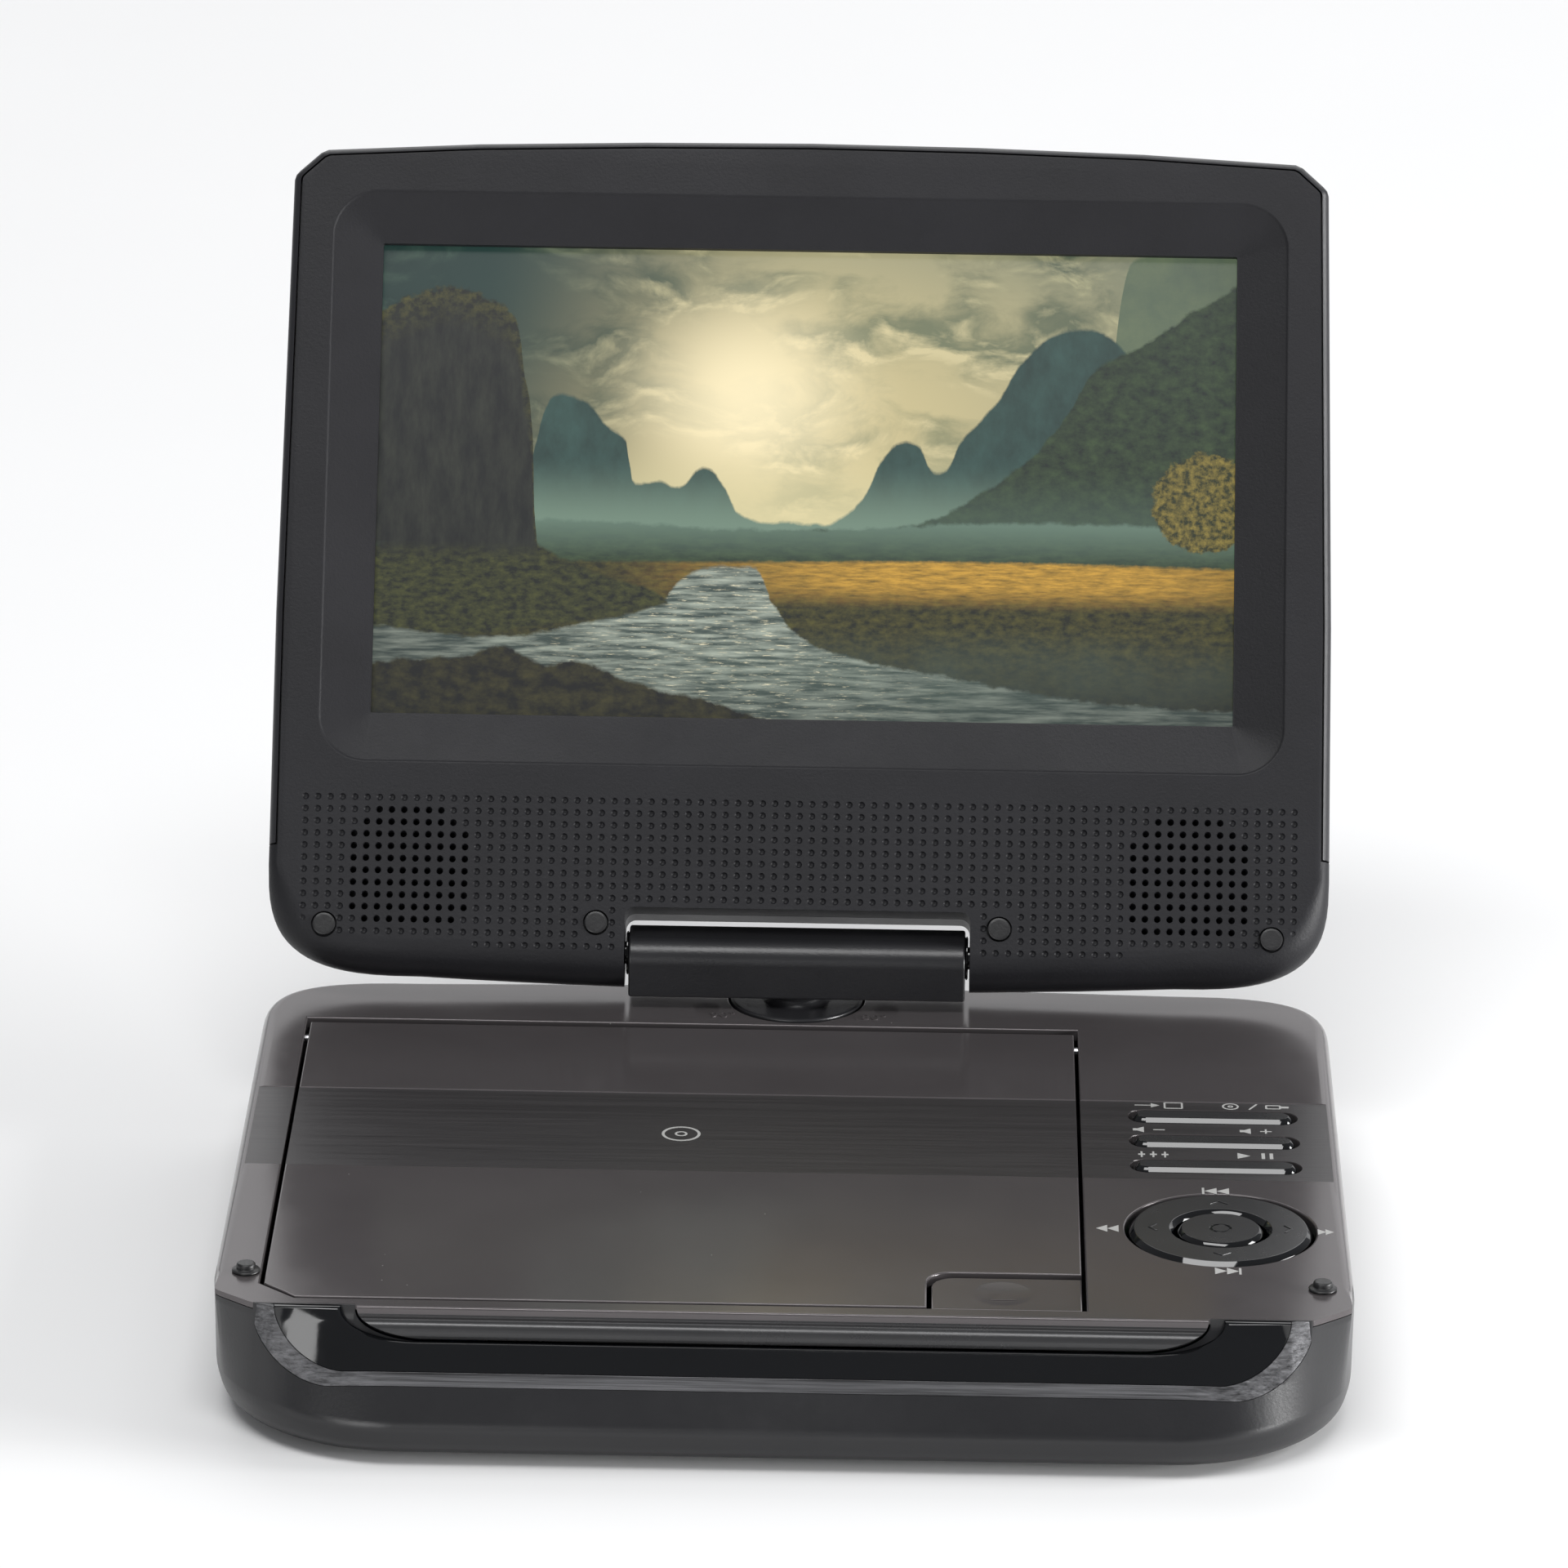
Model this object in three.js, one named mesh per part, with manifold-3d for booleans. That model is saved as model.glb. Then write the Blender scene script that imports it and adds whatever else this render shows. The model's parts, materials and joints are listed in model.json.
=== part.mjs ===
// Portable disc player with a swivelling, tilting screen: a clamshell of about 190 x 164 x 39 mm when shut.
// Millimetres, +X to the user's right, +Y to the back, +Z up. The player stands on its feet on z = 0 with
// its lid open, and the origin is under the middle of its bounding box.
import * as THREE from "three";
import { mergeVertices } from "three/addons/utils/BufferGeometryUtils.js";
import Module from "manifold-3d";

const wasm = await Module();
wasm.setup();

// ---------------------------------------------------------------- driving dimensions
const FOOT = 1.5; // what the rubber feet stand proud of the underside
const BASE_H = 22.7; // underside to the flat top of the base
const TOP = FOOT + BASE_H; // height of the base's flat top
const WALL = 2.4; // shell wall
const FLOOR = FOOT + WALL; // inside of the underside
const GAP = 0.35; // shut line between separate pieces
const HALF_W = 94.4; // half the width of base and lid
const SWIVEL_Y = 60; // the swivel axis, measured from the base's own zero line
const AXIS_UP = 8.2; // tilt axis above the base's flat top
const LID_T = 13; // lid thickness, with the tilt axis in its middle
const LID_OPEN = 121; // degrees between the shut lid and the lid as it stands
const CREASE_Z = TOP - 17.2; // where the sloping front meets the upright band under it
const FRONT_TOP_Y = -86.1; // top of the sloping front
const FRONT_LOW_Y = -96.4; // foot of the sloping front
const PLATE_FRONT_Y = -84.5; // front edge of the flat top plate
const CHAMFER_IN = [87.2, -84.5]; // inner end of the plate's cut corner
const CHAMFER_OUT = [93.6, -79.2]; // outer end of the plate's cut corner
const FRONT_CORNER_R = 31; // plan radius of the base's front corners
const DRAFT = 1.5; // how far the upright band under the crease leans in by the underside
const SPLIT_Z = TOP - 8; // parting line between the top frame and the bottom shell
const COVER = { x0: -85.9, x1: 49.4, y0: -81.6, y1: 44.9, t: 1.8, cut: [-80.3, -76.2] };
const REAR_GAP = 1.8; // open slot behind the disc cover, which its swinging rear edge needs
const EJECT = { x0: 24.1, y1: -67, r: 4 };
const DISC = { x: -18, y: -18, pocketR: 61.5, pocketZ: TOP - 7.6 };
const KEYS = { x: 72.8, length: 27.6, width: 4.6, ys: [6, -5.5, -17], slotGrow: 0.85 };
const PAD = { x: 72.8, y: -45.8, slotR: 16.1, outerR: 15.4, innerR: 7.8, okR: 7.2 };
const NOTCH = { halfW: 30.7, top: 7.1, r: 1.8 }; // cut-out in the lid round the hinge block
const BLOCK = { halfW: 29.3, reach: 6.5, low: -6, high: 4.1, r: 4 }; // hinge block, about the tilt axis
const WINDOW = { halfW: 77.04, low: 42.2, high: 128.8, depth: 3 }; // visible picture, 154 x 86.6
const RECESS = { halfW: 86.1, low: 32.8, high: 137.9, r: 8.5 }; // outer edge of the sloping picture frame
const SPEAKER = { x: 69.2, v: 14.1, r: 12 };
const LID_PADS = [[84.1, 3.1], [35.8, 4.15]];
const LID_PAD_R = 2;
const PEG = { x: 89, y: -71.3, r: 1.45, collarR: 2.3, high: 1.4 };
const EDGE = { bowHalf: 67, bowSag: 1.55, cornerIn: 14, steps: 7 }; // edge of base and lid by the hinge
const BASE_BOW = 7.85; // how far the middle of the base's edge stands behind the tilt axis
const LID_BOW = 6.3; // the same for the lid
const CORNER_STEPS = 8; // facets of a front corner
const BOTTOM_R = 3; // rounding round the underside
const TOP_R = 2.5; // rounding round the top plate, none along the front
const ROUND_STEPS = 4; // facets of those roundings
const STRIP = { halfW: 87.3, depth: 12.9, cornerW: 13, bend: 1.18 }; // brushed trim on the sloping front
const GLOSS = { halfW: 83.3, depth: 10.4, cornerW: 11.5, bend: 1.18 }; // polished panel inside it
const NOSE = { halfW: 69.8, depth: 4.9, cornerW: 12, bend: 1, r: 3.3 }; // rolled lip of the top plate
const TRIM_T = 0.8; // thickness of the two front trims
const HUB = { r: 15.2, hollowR: 12.4, low: FOOT + 7, hollowTop: TOP - 5.2 }; // boss that the swivel turns in
const FEET = [[-78, -72], [78, -72], [-78, 46], [78, 46]];
const FOOT_PAD_R = 5;
const SCREWS = [[-86, -40], [86, -64], [-86, 28.4], [86, 28.4]];
const BOSS_R = 3.6; // the posts that the case screws run up into
const PORT_Z = TOP - 13.2; // height of everything in the right side
const PORTS = { dc: { y: 38, r: 3.1 }, phones: { y: 18, r: 2.1 }, usb: { y: -22 }, power: { y: -46 } };
const PIVOT = { y: 43.4, z: TOP - 2.9, r: 0.9 }; // hinge line of the disc cover
const LENS_AT = DISC.y - 24; // the lens starts at the inner edge of the recording
const SLED_TRAVEL = 34; // how far the lens runs outwards from there
const CHASSIS = { low: TOP - 17.6, high: TOP - 16.4, halfW: 29, y0: -86.6, y1: 6 };
const RODS = { x: 21, z: TOP - 14.2, r: 1.2, y0: -84, y1: -31 };
const DAMPERS = [[DISC.x - 24, 2], [DISC.x + 24, 2], [DISC.x, -83.5]];
const LEAD = { x: DISC.x + 15.2, z: TOP - 14.2, r: 0.9 };
const SWIVEL = { discR: 11.8, neckR: 5.3, bushR: 8.6, threadR: 4.4 };
const PIN = { r: 2, collarR: 3.9, seat: 39.2 };
const FACE = LID_T / 2; // half the lid's thickness, from the tilt axis to the picture frame
const SIDE_R = 2.2; // rounding of the lid's sides and top
const FOOT_R = 5.7; // fuller rounding along the hinge edge, so that it turns clear of the base
const BEZEL_STEP_V = 17.4; // above this height the bezel is let into the back cover
const PLAY = 0.3; // room round anything that turns or slides in a bore
const FAR = 99; // beyond every part, for cutting tools

const rad = THREE.MathUtils.degToRad;
const smooth = THREE.MathUtils.smoothstep;
const lerp = THREE.MathUtils.lerp;

// ---------------------------------------------------------------- solids
function solid(geometry) {
  const g = geometry.clone();
  g.deleteAttribute("normal");
  g.deleteAttribute("uv");
  const merged = mergeVertices(g, 1e-4);
  const vertProperties = merged.attributes.position.array;
  const triVerts = new Uint32Array(merged.index.array);
  return new wasm.Manifold(new wasm.Mesh({ numProp: 3, vertProperties, triVerts }));
}

function geometryOf(body) {
  const mesh = body.getMesh();
  const g = new THREE.BufferGeometry();
  g.setAttribute("position", new THREE.BufferAttribute(mesh.vertProperties, 3));
  g.setIndex(new THREE.BufferAttribute(mesh.triVerts, 1));
  return g;
}

// A plate with the outline points (x, y), from z0 up to z1.
function prism(points, z0, z1) {
  const shape = new THREE.Shape(points.map((p) => new THREE.Vector2(...p)));
  const g = new THREE.ExtrudeGeometry(shape, { depth: z1 - z0, bevelEnabled: false });
  return solid(g.translate(0, 0, z0));
}

function block(x0, x1, y0, y1, z0, z1) {
  const g = new THREE.BoxGeometry(x1 - x0, y1 - y0, z1 - z0);
  return solid(g.translate((x0 + x1) / 2, (y0 + y1) / 2, (z0 + z1) / 2));
}

// A cylinder from a to b on axis "x", "y" or "z"; at holds its other two coordinates in x, y, z order.
function rod(r, axis, at, a, b, sides = 20) {
  const g = new THREE.CylinderGeometry(r, r, b - a, sides);
  const mid = (a + b) / 2;
  if (axis === "x") return solid(g.rotateZ(Math.PI / 2).translate(mid, ...at));
  if (axis === "y") return solid(g.translate(at[0], mid, at[1]));
  return solid(g.rotateX(Math.PI / 2).translate(at[0], at[1], mid));
}

// A turned piece on the z axis at (x, y), from a profile of (radius, z) pairs that starts and ends on the
// axis.
function turned(profile, x, y, sides = 24) {
  const g = new THREE.LatheGeometry(profile.map((p) => new THREE.Vector2(...p)), sides);
  return solid(g.rotateX(Math.PI / 2).translate(x, y, 0));
}

// A closed skin through rings of equally many points, lowest ring first, each running anticlockwise seen
// from above.
function loft(rings) {
  const count = rings[0].length;
  const index = [];
  rings.slice(1).forEach((_, k) => {
    for (let i = 0; i < count; i++) {
      const [a, b] = [k * count + i, k * count + ((i + 1) % count)];
      index.push(a, b, b + count, a, b + count, a + count);
    }
  });
  const cap = (ring) => THREE.ShapeUtils.triangulateShape(ring.map((p) => new THREE.Vector2(p.x, p.y)), []);
  const topStart = (rings.length - 1) * count;
  for (const [a, b, c] of cap(rings[0])) index.push(c, b, a);
  for (const [a, b, c] of cap(rings.at(-1))) index.push(topStart + a, topStart + b, topStart + c);
  const g = new THREE.BufferGeometry();
  const flat = rings.flat().flatMap((p) => [p.x, p.y, p.z]);
  g.setAttribute("position", new THREE.BufferAttribute(new Float32Array(flat), 3));
  g.setIndex(index);
  return solid(g);
}

// Everything between two heights.
const slab = (z0, z1) => block(-FAR, FAR, -FAR, FAR, z0, z1);

// ---------------------------------------------------------------- outlines
// Each point moved inwards by distance(point), square to the outline, which runs anticlockwise.
function inset(points, distance) {
  const n = points.length;
  return points.map((p, i) => {
    const before = new THREE.Vector2(...p).sub(new THREE.Vector2(...points[(i + n - 1) % n])).normalize();
    const after = new THREE.Vector2(...points[(i + 1) % n]).sub(new THREE.Vector2(...p)).normalize();
    const bisector = before.clone().add(after).normalize();
    const d = (typeof distance === "number" ? distance : distance(p)) / Math.max(0.5, bisector.dot(before));
    return [p[0] - bisector.y * d, p[1] + bisector.x * d];
  });
}

// A right half, from the lowest middle point anticlockwise to the highest, with its mirror image.
function mirrored(half) {
  const left = half.filter((p) => p[0] > 1e-6).map(([x, y]) => [-x, y]).reverse();
  return [...half, ...left];
}

function roundedRect(x0, x1, y0, y1, r, steps = 5) {
  const centres = [[x1 - r, y0 + r, -90], [x1 - r, y1 - r, 0], [x0 + r, y1 - r, 90], [x0 + r, y0 + r, 180]];
  return centres.flatMap(([cx, cy, start]) =>
    Array.from({ length: steps + 1 }, (_, i) => {
      const a = rad(start + (90 * i) / steps);
      return [cx + r * Math.cos(a), cy + r * Math.sin(a)];
    }),
  );
}

// The curved edge by the hinge, from the middle to the straight side: a shallow bow, then a corner that is
// a superellipse of exponent 3. Distances are from the tilt axis, away from the screen, and bowOut is the
// middle's.
function hingeEdge(bowOut) {
  const points = [0, 0.4, 0.75].map((k) => [EDGE.bowHalf * k, bowOut - EDGE.bowSag * k * k]);
  const [rx, ry] = [HALF_W - EDGE.bowHalf, bowOut - EDGE.bowSag + EDGE.cornerIn];
  for (let i = 0; i <= EDGE.steps; i++) {
    const a = ((Math.PI / 2) * i) / EDGE.steps;
    const x = EDGE.bowHalf + rx * Math.sin(a) ** (2 / 3);
    points.push([x, ry * Math.cos(a) ** (2 / 3) - EDGE.cornerIn]);
  }
  return points;
}

// The base seen from above at height z: the top plate's cut corners change into the wide round corners
// of the crease, and everything below the crease keeps the crease's outline.
function baseOutline(z) {
  const up = THREE.MathUtils.clamp((z - CREASE_Z) / (TOP - CREASE_Z), 0, 1);
  const plate = new THREE.CurvePath();
  const stops = [[HALF_W, -70], CHAMFER_OUT, CHAMFER_IN, [83.3, FRONT_TOP_Y], [64, FRONT_TOP_Y]];
  stops.slice(1).forEach((p, i) => {
    plate.add(new THREE.LineCurve(new THREE.Vector2(...stops[i]), new THREE.Vector2(...p)));
  });
  const half = [];
  for (let i = CORNER_STEPS; i >= 0; i--) {
    const a = ((Math.PI / 2) * i) / CORNER_STEPS;
    const low = [
      HALF_W - FRONT_CORNER_R * (1 - Math.cos(a)),
      FRONT_LOW_Y + FRONT_CORNER_R * (1 - Math.sin(a)),
    ];
    const high = plate.getPoint(i / CORNER_STEPS);
    half.push([lerp(low[0], high.x, up), lerp(low[1], high.y, up)]);
  }
  half.unshift([0, half[0][1]]);
  half.push([HALF_W, -30], [HALF_W, 10]);
  const rear = hingeEdge(BASE_BOW).map(([x, out]) => [x, SWIVEL_Y + out]).reverse();
  return mirrored([...half, ...rear]);
}

// The flat top plate, whose front edge stands behind the sloping front.
function plateOutline(grow = 0) {
  const rear = hingeEdge(BASE_BOW).map(([x, out]) => [x, SWIVEL_Y + out]).reverse();
  const half = [[0, PLATE_FRONT_Y], CHAMFER_IN, CHAMFER_OUT, [HALF_W, -72], ...rear];
  return inset(mirrored(half), -grow);
}

// The lid in its own plane: x to the right, v up from the tilt axis.
function lidOutline() {
  const half = hingeEdge(LID_BOW).map(([x, out]) => [x, -out]);
  half.push([HALF_W, 60], [93.4, 140.6], [87.8, 145.9], [60, 147.3], [30, 148.1], [0, 148.4]);
  return mirrored(half);
}

// ---------------------------------------------------------------- base shells

function ringAt(points, z) {
  return points.map(([x, y]) => new THREE.Vector3(x, y, z));
}

// The outer skin of the whole base, shrunk by a wall thickness for the space inside it.
function baseBody(wall = 0) {
  const rings = [];
  const shrink = (z, by) => inset(baseOutline(z), by);
  const steps = wall ? 1 : ROUND_STEPS;
  for (let i = 0; i <= steps; i++) {
    const a = ((Math.PI / 2) * i) / steps;
    const z = FOOT + wall + BOTTOM_R * (1 - Math.cos(a));
    const lean = (DRAFT * (CREASE_Z - z)) / (CREASE_Z - FOOT);
    rings.push(ringAt(shrink(FOOT, wall + lean + BOTTOM_R * (1 - Math.sin(a))), z));
  }
  rings.push(ringAt(shrink(CREASE_Z, wall), Math.max(CREASE_Z, FOOT + wall + BOTTOM_R + 0.1)));
  rings.push(ringAt(shrink(TOP - 10, wall), TOP - 10));
  for (let i = 0; i <= steps; i++) {
    const a = ((Math.PI / 2) * i) / steps;
    const z = TOP - TOP_R * (1 - Math.sin(a));
    const rounding = (p) => wall + TOP_R * (1 - Math.cos(a)) * smooth(p[1], -79, -66);
    rings.push(ringAt(inset(baseOutline(z), rounding), z));
  }
  if (wall) rings.push(ringAt(rings.at(-1).map((p) => [p.x, p.y]), TOP + 1));
  return loft(rings);
}

// The sloping front as its own plane: x across, s down the slope from the top, and out along its normal.
const SLOPE = Math.atan2(TOP - CREASE_Z, FRONT_TOP_Y - FRONT_LOW_Y);
function onSlope(body) {
  const m = new THREE.Matrix4().makeRotationX(SLOPE).setPosition(0, FRONT_TOP_Y, TOP);
  return body.transform([...m.elements]);
}

// A half-stadium on the slope, grown all round: straight along the top edge, with lower corners that are
// elliptical at a bend of 1 and flatter above it.
function slopePanel(form, grow, out0, out1, up = 6) {
  const [halfW, depth] = [form.halfW + grow, form.depth + grow];
  const half = [[0, -depth]];
  for (let i = 0; i <= 8; i++) {
    const a = ((Math.PI / 2) * i) / 8;
    const across = Math.sin(a) ** form.bend;
    half.push([halfW - form.cornerW * (1 - across), -depth * Math.max(0, Math.cos(a)) ** form.bend]);
  }
  half.push([halfW, up], [0, up]);
  return onSlope(prism(mirrored(half), out0, out1));
}

// The part of a slope panel that lies in front of the top plate and no deeper than thickness under the skin.
function skinOf(panel, thickness) {
  return panel.subtract(baseBody(thickness)).subtract(prism(plateOutline(GAP), SPLIT_Z - GAP, TOP + 9));
}

const inFrontOfPlate = () => block(-HALF_W, HALF_W, -110, PLATE_FRONT_Y - GAP, TOP - 16, TOP);

function frontTrimStrip() {
  const outer = slopePanel(STRIP, -GAP, -14, 8);
  const inner = slopePanel(GLOSS, GAP, -15, 9, 8);
  return skinOf(outer, TRIM_T).intersect(baseBody()).intersect(inFrontOfPlate()).subtract(inner);
}

function frontGlossPanel() {
  const panel = slopePanel(GLOSS, 0, -14, 8);
  const lip = slopePanel(NOSE, GAP, -14, 8, 8);
  return skinOf(panel, TRIM_T).intersect(baseBody()).intersect(inFrontOfPlate()).subtract(lip);
}

// The rolled lip of the top plate that a finger pushes against to lift the lid.
function nose() {
  const profile = [[PLATE_FRONT_Y + 1, TOP], [PLATE_FRONT_Y + 1, TOP - 2], [PLATE_FRONT_Y - 1.2, TOP - 5.4]];
  for (let i = 0; i <= 6; i++) {
    const a = ((Math.PI / 2) * i) / 6;
    profile.push([PLATE_FRONT_Y - 0.9 - NOSE.r * Math.cos(a), TOP - 3.9 + 3.9 * Math.sin(a)]);
  }
  const shape = new THREE.Shape(profile.map((p) => new THREE.Vector2(...p)));
  const g = new THREE.ExtrudeGeometry(shape, { depth: 2 * NOSE.halfW, bevelEnabled: false });
  const bar = solid(g.rotateY(Math.PI / 2).rotateX(Math.PI / 2).translate(-NOSE.halfW, 0, 0));
  return bar.intersect(slopePanel(NOSE, 0, -14, 8, 12));
}

// The round boss at the middle of the back edge that the swivel turns in.
function hub(z0, z1) {
  const profile = [
    [0, HUB.low], [10, HUB.low], [HUB.r, HUB.low + 4.5], [HUB.r, TOP - 1.6], [HUB.r - 0.5, TOP - 0.5],
    [HUB.r - 1.6, TOP], [0, TOP],
  ];
  return turned(profile, 0, SWIVEL_Y, 40).intersect(slab(z0, z1));
}
const hubHollow = () => rod(HUB.hollowR, "z", [0, SWIVEL_Y], HUB.low + 2, HUB.hollowTop, 30);

function coverOpening(grow) {
  const c = COVER;
  return [
    [c.cut[0], c.y0 - grow], [c.x1 + grow, c.y0 - grow], [c.x1 + grow, c.y1 + REAR_GAP],
    [c.x0 - grow, c.y1 + REAR_GAP], [c.x0 - grow, c.cut[1]],
  ];
}

function stadium(cx, cy, length, width, grow, steps = 6) {
  const r = width / 2 + grow - 0.01;
  return roundedRect(cx - length / 2 - grow, cx + length / 2 + grow, cy - r - 0.01, cy + r + 0.01, r, steps);
}

function topFrame() {
  let frame = baseBody().intersect(prism(plateOutline(), SPLIT_Z, TOP + 1));
  frame = frame.subtract(baseBody(WALL).intersect(slab(0, TOP - 2)));
  frame = frame.subtract(block(-FAR, FAR, -FAR, PLATE_FRONT_Y + WALL, 0, TOP - 2));
  frame = frame.add(nose()).add(hub(SPLIT_Z, TOP)).subtract(hubHollow());
  frame = frame.subtract(prism(coverOpening(GAP), 0, TOP + 5));
  for (const y of KEYS.ys) {
    frame = frame.subtract(prism(stadium(KEYS.x, y, KEYS.length, KEYS.width, KEYS.slotGrow), 0, TOP + 5));
  }
  frame = frame.subtract(rod(PAD.slotR, "z", [PAD.x, PAD.y], 0, TOP + 5, 40));
  frame = frame.subtract(rod(SWIVEL.discR + GAP, "z", [0, SWIVEL_Y], TOP - 2.9, TOP + 5, 36));
  frame = frame.subtract(rod(SWIVEL.bushR + GAP, "z", [0, SWIVEL_Y], 0, TOP, 28));
  for (const side of [-1, 1]) {
    frame = frame.subtract(rod(PEG.r + PLAY, "z", [side * PEG.x, PEG.y], 0, TOP + 5, 14));
  }
  for (const [x0, x1] of [[-88.2, -86.4], [50.1, 51.9]]) {
    const lug = block(x0, x1, PIVOT.y - 2.2, PIVOT.y + 2.2, TOP - 5.6, TOP - 1);
    frame = frame.add(lug).subtract(rod(PIVOT.r + PLAY, "x", [PIVOT.y, PIVOT.z], x0 - 0.4, x1 + 0.4, 12));
  }
  return frame;
}

function bottomShell() {
  let shell = baseBody().subtract(baseBody(WALL)).subtract(prism(plateOutline(GAP), SPLIT_Z - GAP, TOP + 5));
  const trims = slopePanel(STRIP, 0, -14, 8);
  shell = shell.subtract(skinOf(trims, TRIM_T + 0.8));
  shell = shell.add(hub(0, SPLIT_Z - GAP)).subtract(hubHollow());
  shell = shell.subtract(slopePanel(NOSE, GAP, -6, 8));
  for (const [x, y] of SCREWS) {
    shell = shell.add(rod(BOSS_R, "z", [x, y], FOOT + 1, TOP - 12, 14));
    shell = shell.subtract(rod(1.4, "z", [x, y], 0, TOP, 12));
    shell = shell.subtract(rod(2.9, "z", [x, y], 0, FOOT + 2.2, 16));
  }
  for (const [x, y] of FEET) shell = shell.subtract(rod(FOOT_PAD_R + PLAY, "z", [x, y], 0, FOOT + 0.8, 24));
  shell = shell.subtract(rod(PORTS.dc.r, "x", [PORTS.dc.y, PORT_Z], 85, FAR, 16));
  shell = shell.subtract(rod(PORTS.phones.r, "x", [PORTS.phones.y, PORT_Z], 85, FAR, 16));
  const sideHole = (x, y, halfL, halfH) => {
    return block(x, FAR, y - halfL, y + halfL, PORT_Z - halfH, PORT_Z + halfH);
  };
  shell = shell.subtract(sideHole(88, PORTS.usb.y, 7.2, 3.5));
  shell = shell.subtract(sideHole(HALF_W - 1.1, PORTS.power.y, 8, 3.2));
  return shell.subtract(sideHole(90, PORTS.power.y, 5, 1.8));
}

function foot([x, y]) {
  const top = FOOT + 0.5;
  const profile = [[0, 0], [FOOT_PAD_R - 0.5, 0], [FOOT_PAD_R, 0.5], [FOOT_PAD_R, top], [0, top]];
  return turned(profile, x, y, 18);
}

function caseScrew([x, y]) {
  const z = FOOT + 1.9;
  const profile = [[0, z - 1.6], [2.5, z - 1.6], [2.5, z], [1.1, z], [1.1, TOP - 13], [0, TOP - 13]];
  return turned(profile, x, y, 12).subtract(block(x - 1.5, x + 1.5, y - 0.3, y + 0.3, 0, z - 1));
}

function stopPeg(side) {
  const top = TOP + PEG.high;
  const profile = [
    [0, TOP - 5], [2.4, TOP - 5], [2.4, TOP - 2.4], [PEG.r, TOP - 2.4], [PEG.r, TOP + 0.35],
    [PEG.collarR, TOP + 0.35], [PEG.collarR, TOP + 0.7], [PEG.r, TOP + 0.85], [PEG.r, top - 0.25],
    [PEG.r - 0.3, top], [0, top],
  ];
  return turned(profile, side * PEG.x, PEG.y, 12);
}

// ---------------------------------------------------------------- disc bay and drive

function discDeck() {
  const rim = TOP - COVER.t - 0.7;
  const outline = [[-80, -81], [49, -81], [49, 38.5], [-85.4, 38.5], [-85.4, -76.4]];
  let deck = prism(outline, rim - 1.4, rim);
  deck = deck.add(rod(DISC.pocketR + 1.4, "z", [DISC.x, DISC.y], DISC.pocketZ - 1.4, rim, 48)
    .intersect(block(-85.4, 49, -81, 48, 0, TOP)));
  deck = deck.subtract(rod(DISC.pocketR, "z", [DISC.x, DISC.y], DISC.pocketZ, TOP + 5, 48)
    .intersect(block(-84, 47.6, -79.6, FAR, 0, FAR)));
  deck = deck.subtract(rod(16.6, "z", [DISC.x, DISC.y], 0, TOP, 28));
  deck = deck.subtract(block(DISC.x - 9, DISC.x + 9, LENS_AT - SLED_TRAVEL - 6, DISC.y, 0, TOP));
  deck = deck.subtract(block(-FAR, FAR, PIVOT.y - 1.6, FAR, TOP - 4.4, TOP));
  deck = deck.subtract(block(EJECT.x0 - 1.2, 60, -90, EJECT.y1 + 1.2, 0, TOP));
  return deck.subtract(block(32, 40, -70, -63.4, 0, TOP));
}

function driveChassis() {
  const c = CHASSIS;
  let plate = block(DISC.x - c.halfW, DISC.x + c.halfW, c.y0, c.y1, c.low, c.high);
  plate = plate.subtract(block(DISC.x - 15, DISC.x + 15, -79, DISC.y - 14, 0, TOP));
  for (const side of [-1, 1]) {
    const x = DISC.x + side * RODS.x;
    for (const y of [RODS.y0, RODS.y1]) {
      plate = plate.add(block(x - 2.6, x + 2.6, y - 1, y + 1, c.low, RODS.z + 2.4));
    }
    plate = plate.subtract(rod(RODS.r + PLAY, "y", [x, RODS.z], RODS.y0 - PLAY, RODS.y1 + PLAY, 12));
  }
  return plate;
}

const guideRod = (side) => rod(RODS.r, "y", [DISC.x + side * RODS.x, RODS.z], RODS.y0, RODS.y1, 12);
const damper = ([x, y]) => rod(3.2, "z", [x, y], FLOOR + 0.25, CHASSIS.low - 0.25, 14);

function spindleMotor() {
  const z = CHASSIS.high + PLAY;
  const [can, shaft] = [z + 4.6, z + 7];
  const profile = [[0, z], [10.4, z], [10.4, can], [1.2, can], [1.2, shaft], [0, shaft]];
  return turned(profile, DISC.x, DISC.y, 28);
}

function turntable() {
  const [low, seat] = [TOP - 9, DISC.pocketZ + 2];
  const profile = [
    [0, low + 1], [1.6, low + 1], [1.6, low], [6, low], [6, seat - 1.6], [14.6, seat - 1.6], [14.6, seat],
    [7.4, seat], [7.2, seat + 1.5], [5.8, seat + 2.3], [0, seat + 2.3],
  ];
  return turned(profile, DISC.x, DISC.y, 24);
}

function laserPickup() {
  const [y, x, z0] = [LENS_AT, DISC.x, TOP - 16];
  let body = block(x - 13, x + 13, y - 6, y + 9, z0, TOP - 12.4);
  body = body.add(block(x - 7, x + 7, y - 5.5, y + 6, TOP - 12.6, TOP - 9.6));
  for (const side of [-1, 1]) {
    const at = x + side * RODS.x;
    body = body.add(block(Math.min(x, at) - 2.6, Math.max(x, at) + 2.6, y - 5, y + 3, z0, TOP - 12.4));
    body = body.subtract(rod(RODS.r + PLAY, "y", [at, RODS.z], y - 9, y + 9, 12));
  }
  return body.subtract(rod(LEAD.r + 0.55, "y", [LEAD.x, LEAD.z], y - 12, y + 12, 12));
}

function pickupLens() {
  const low = TOP - 9.3;
  const profile = [[0, low], [3.2, low], [3.2, low + 0.7], [2.2, low + 1.1], [0, low + 1.3]];
  return turned(profile, DISC.x, LENS_AT, 16);
}

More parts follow.
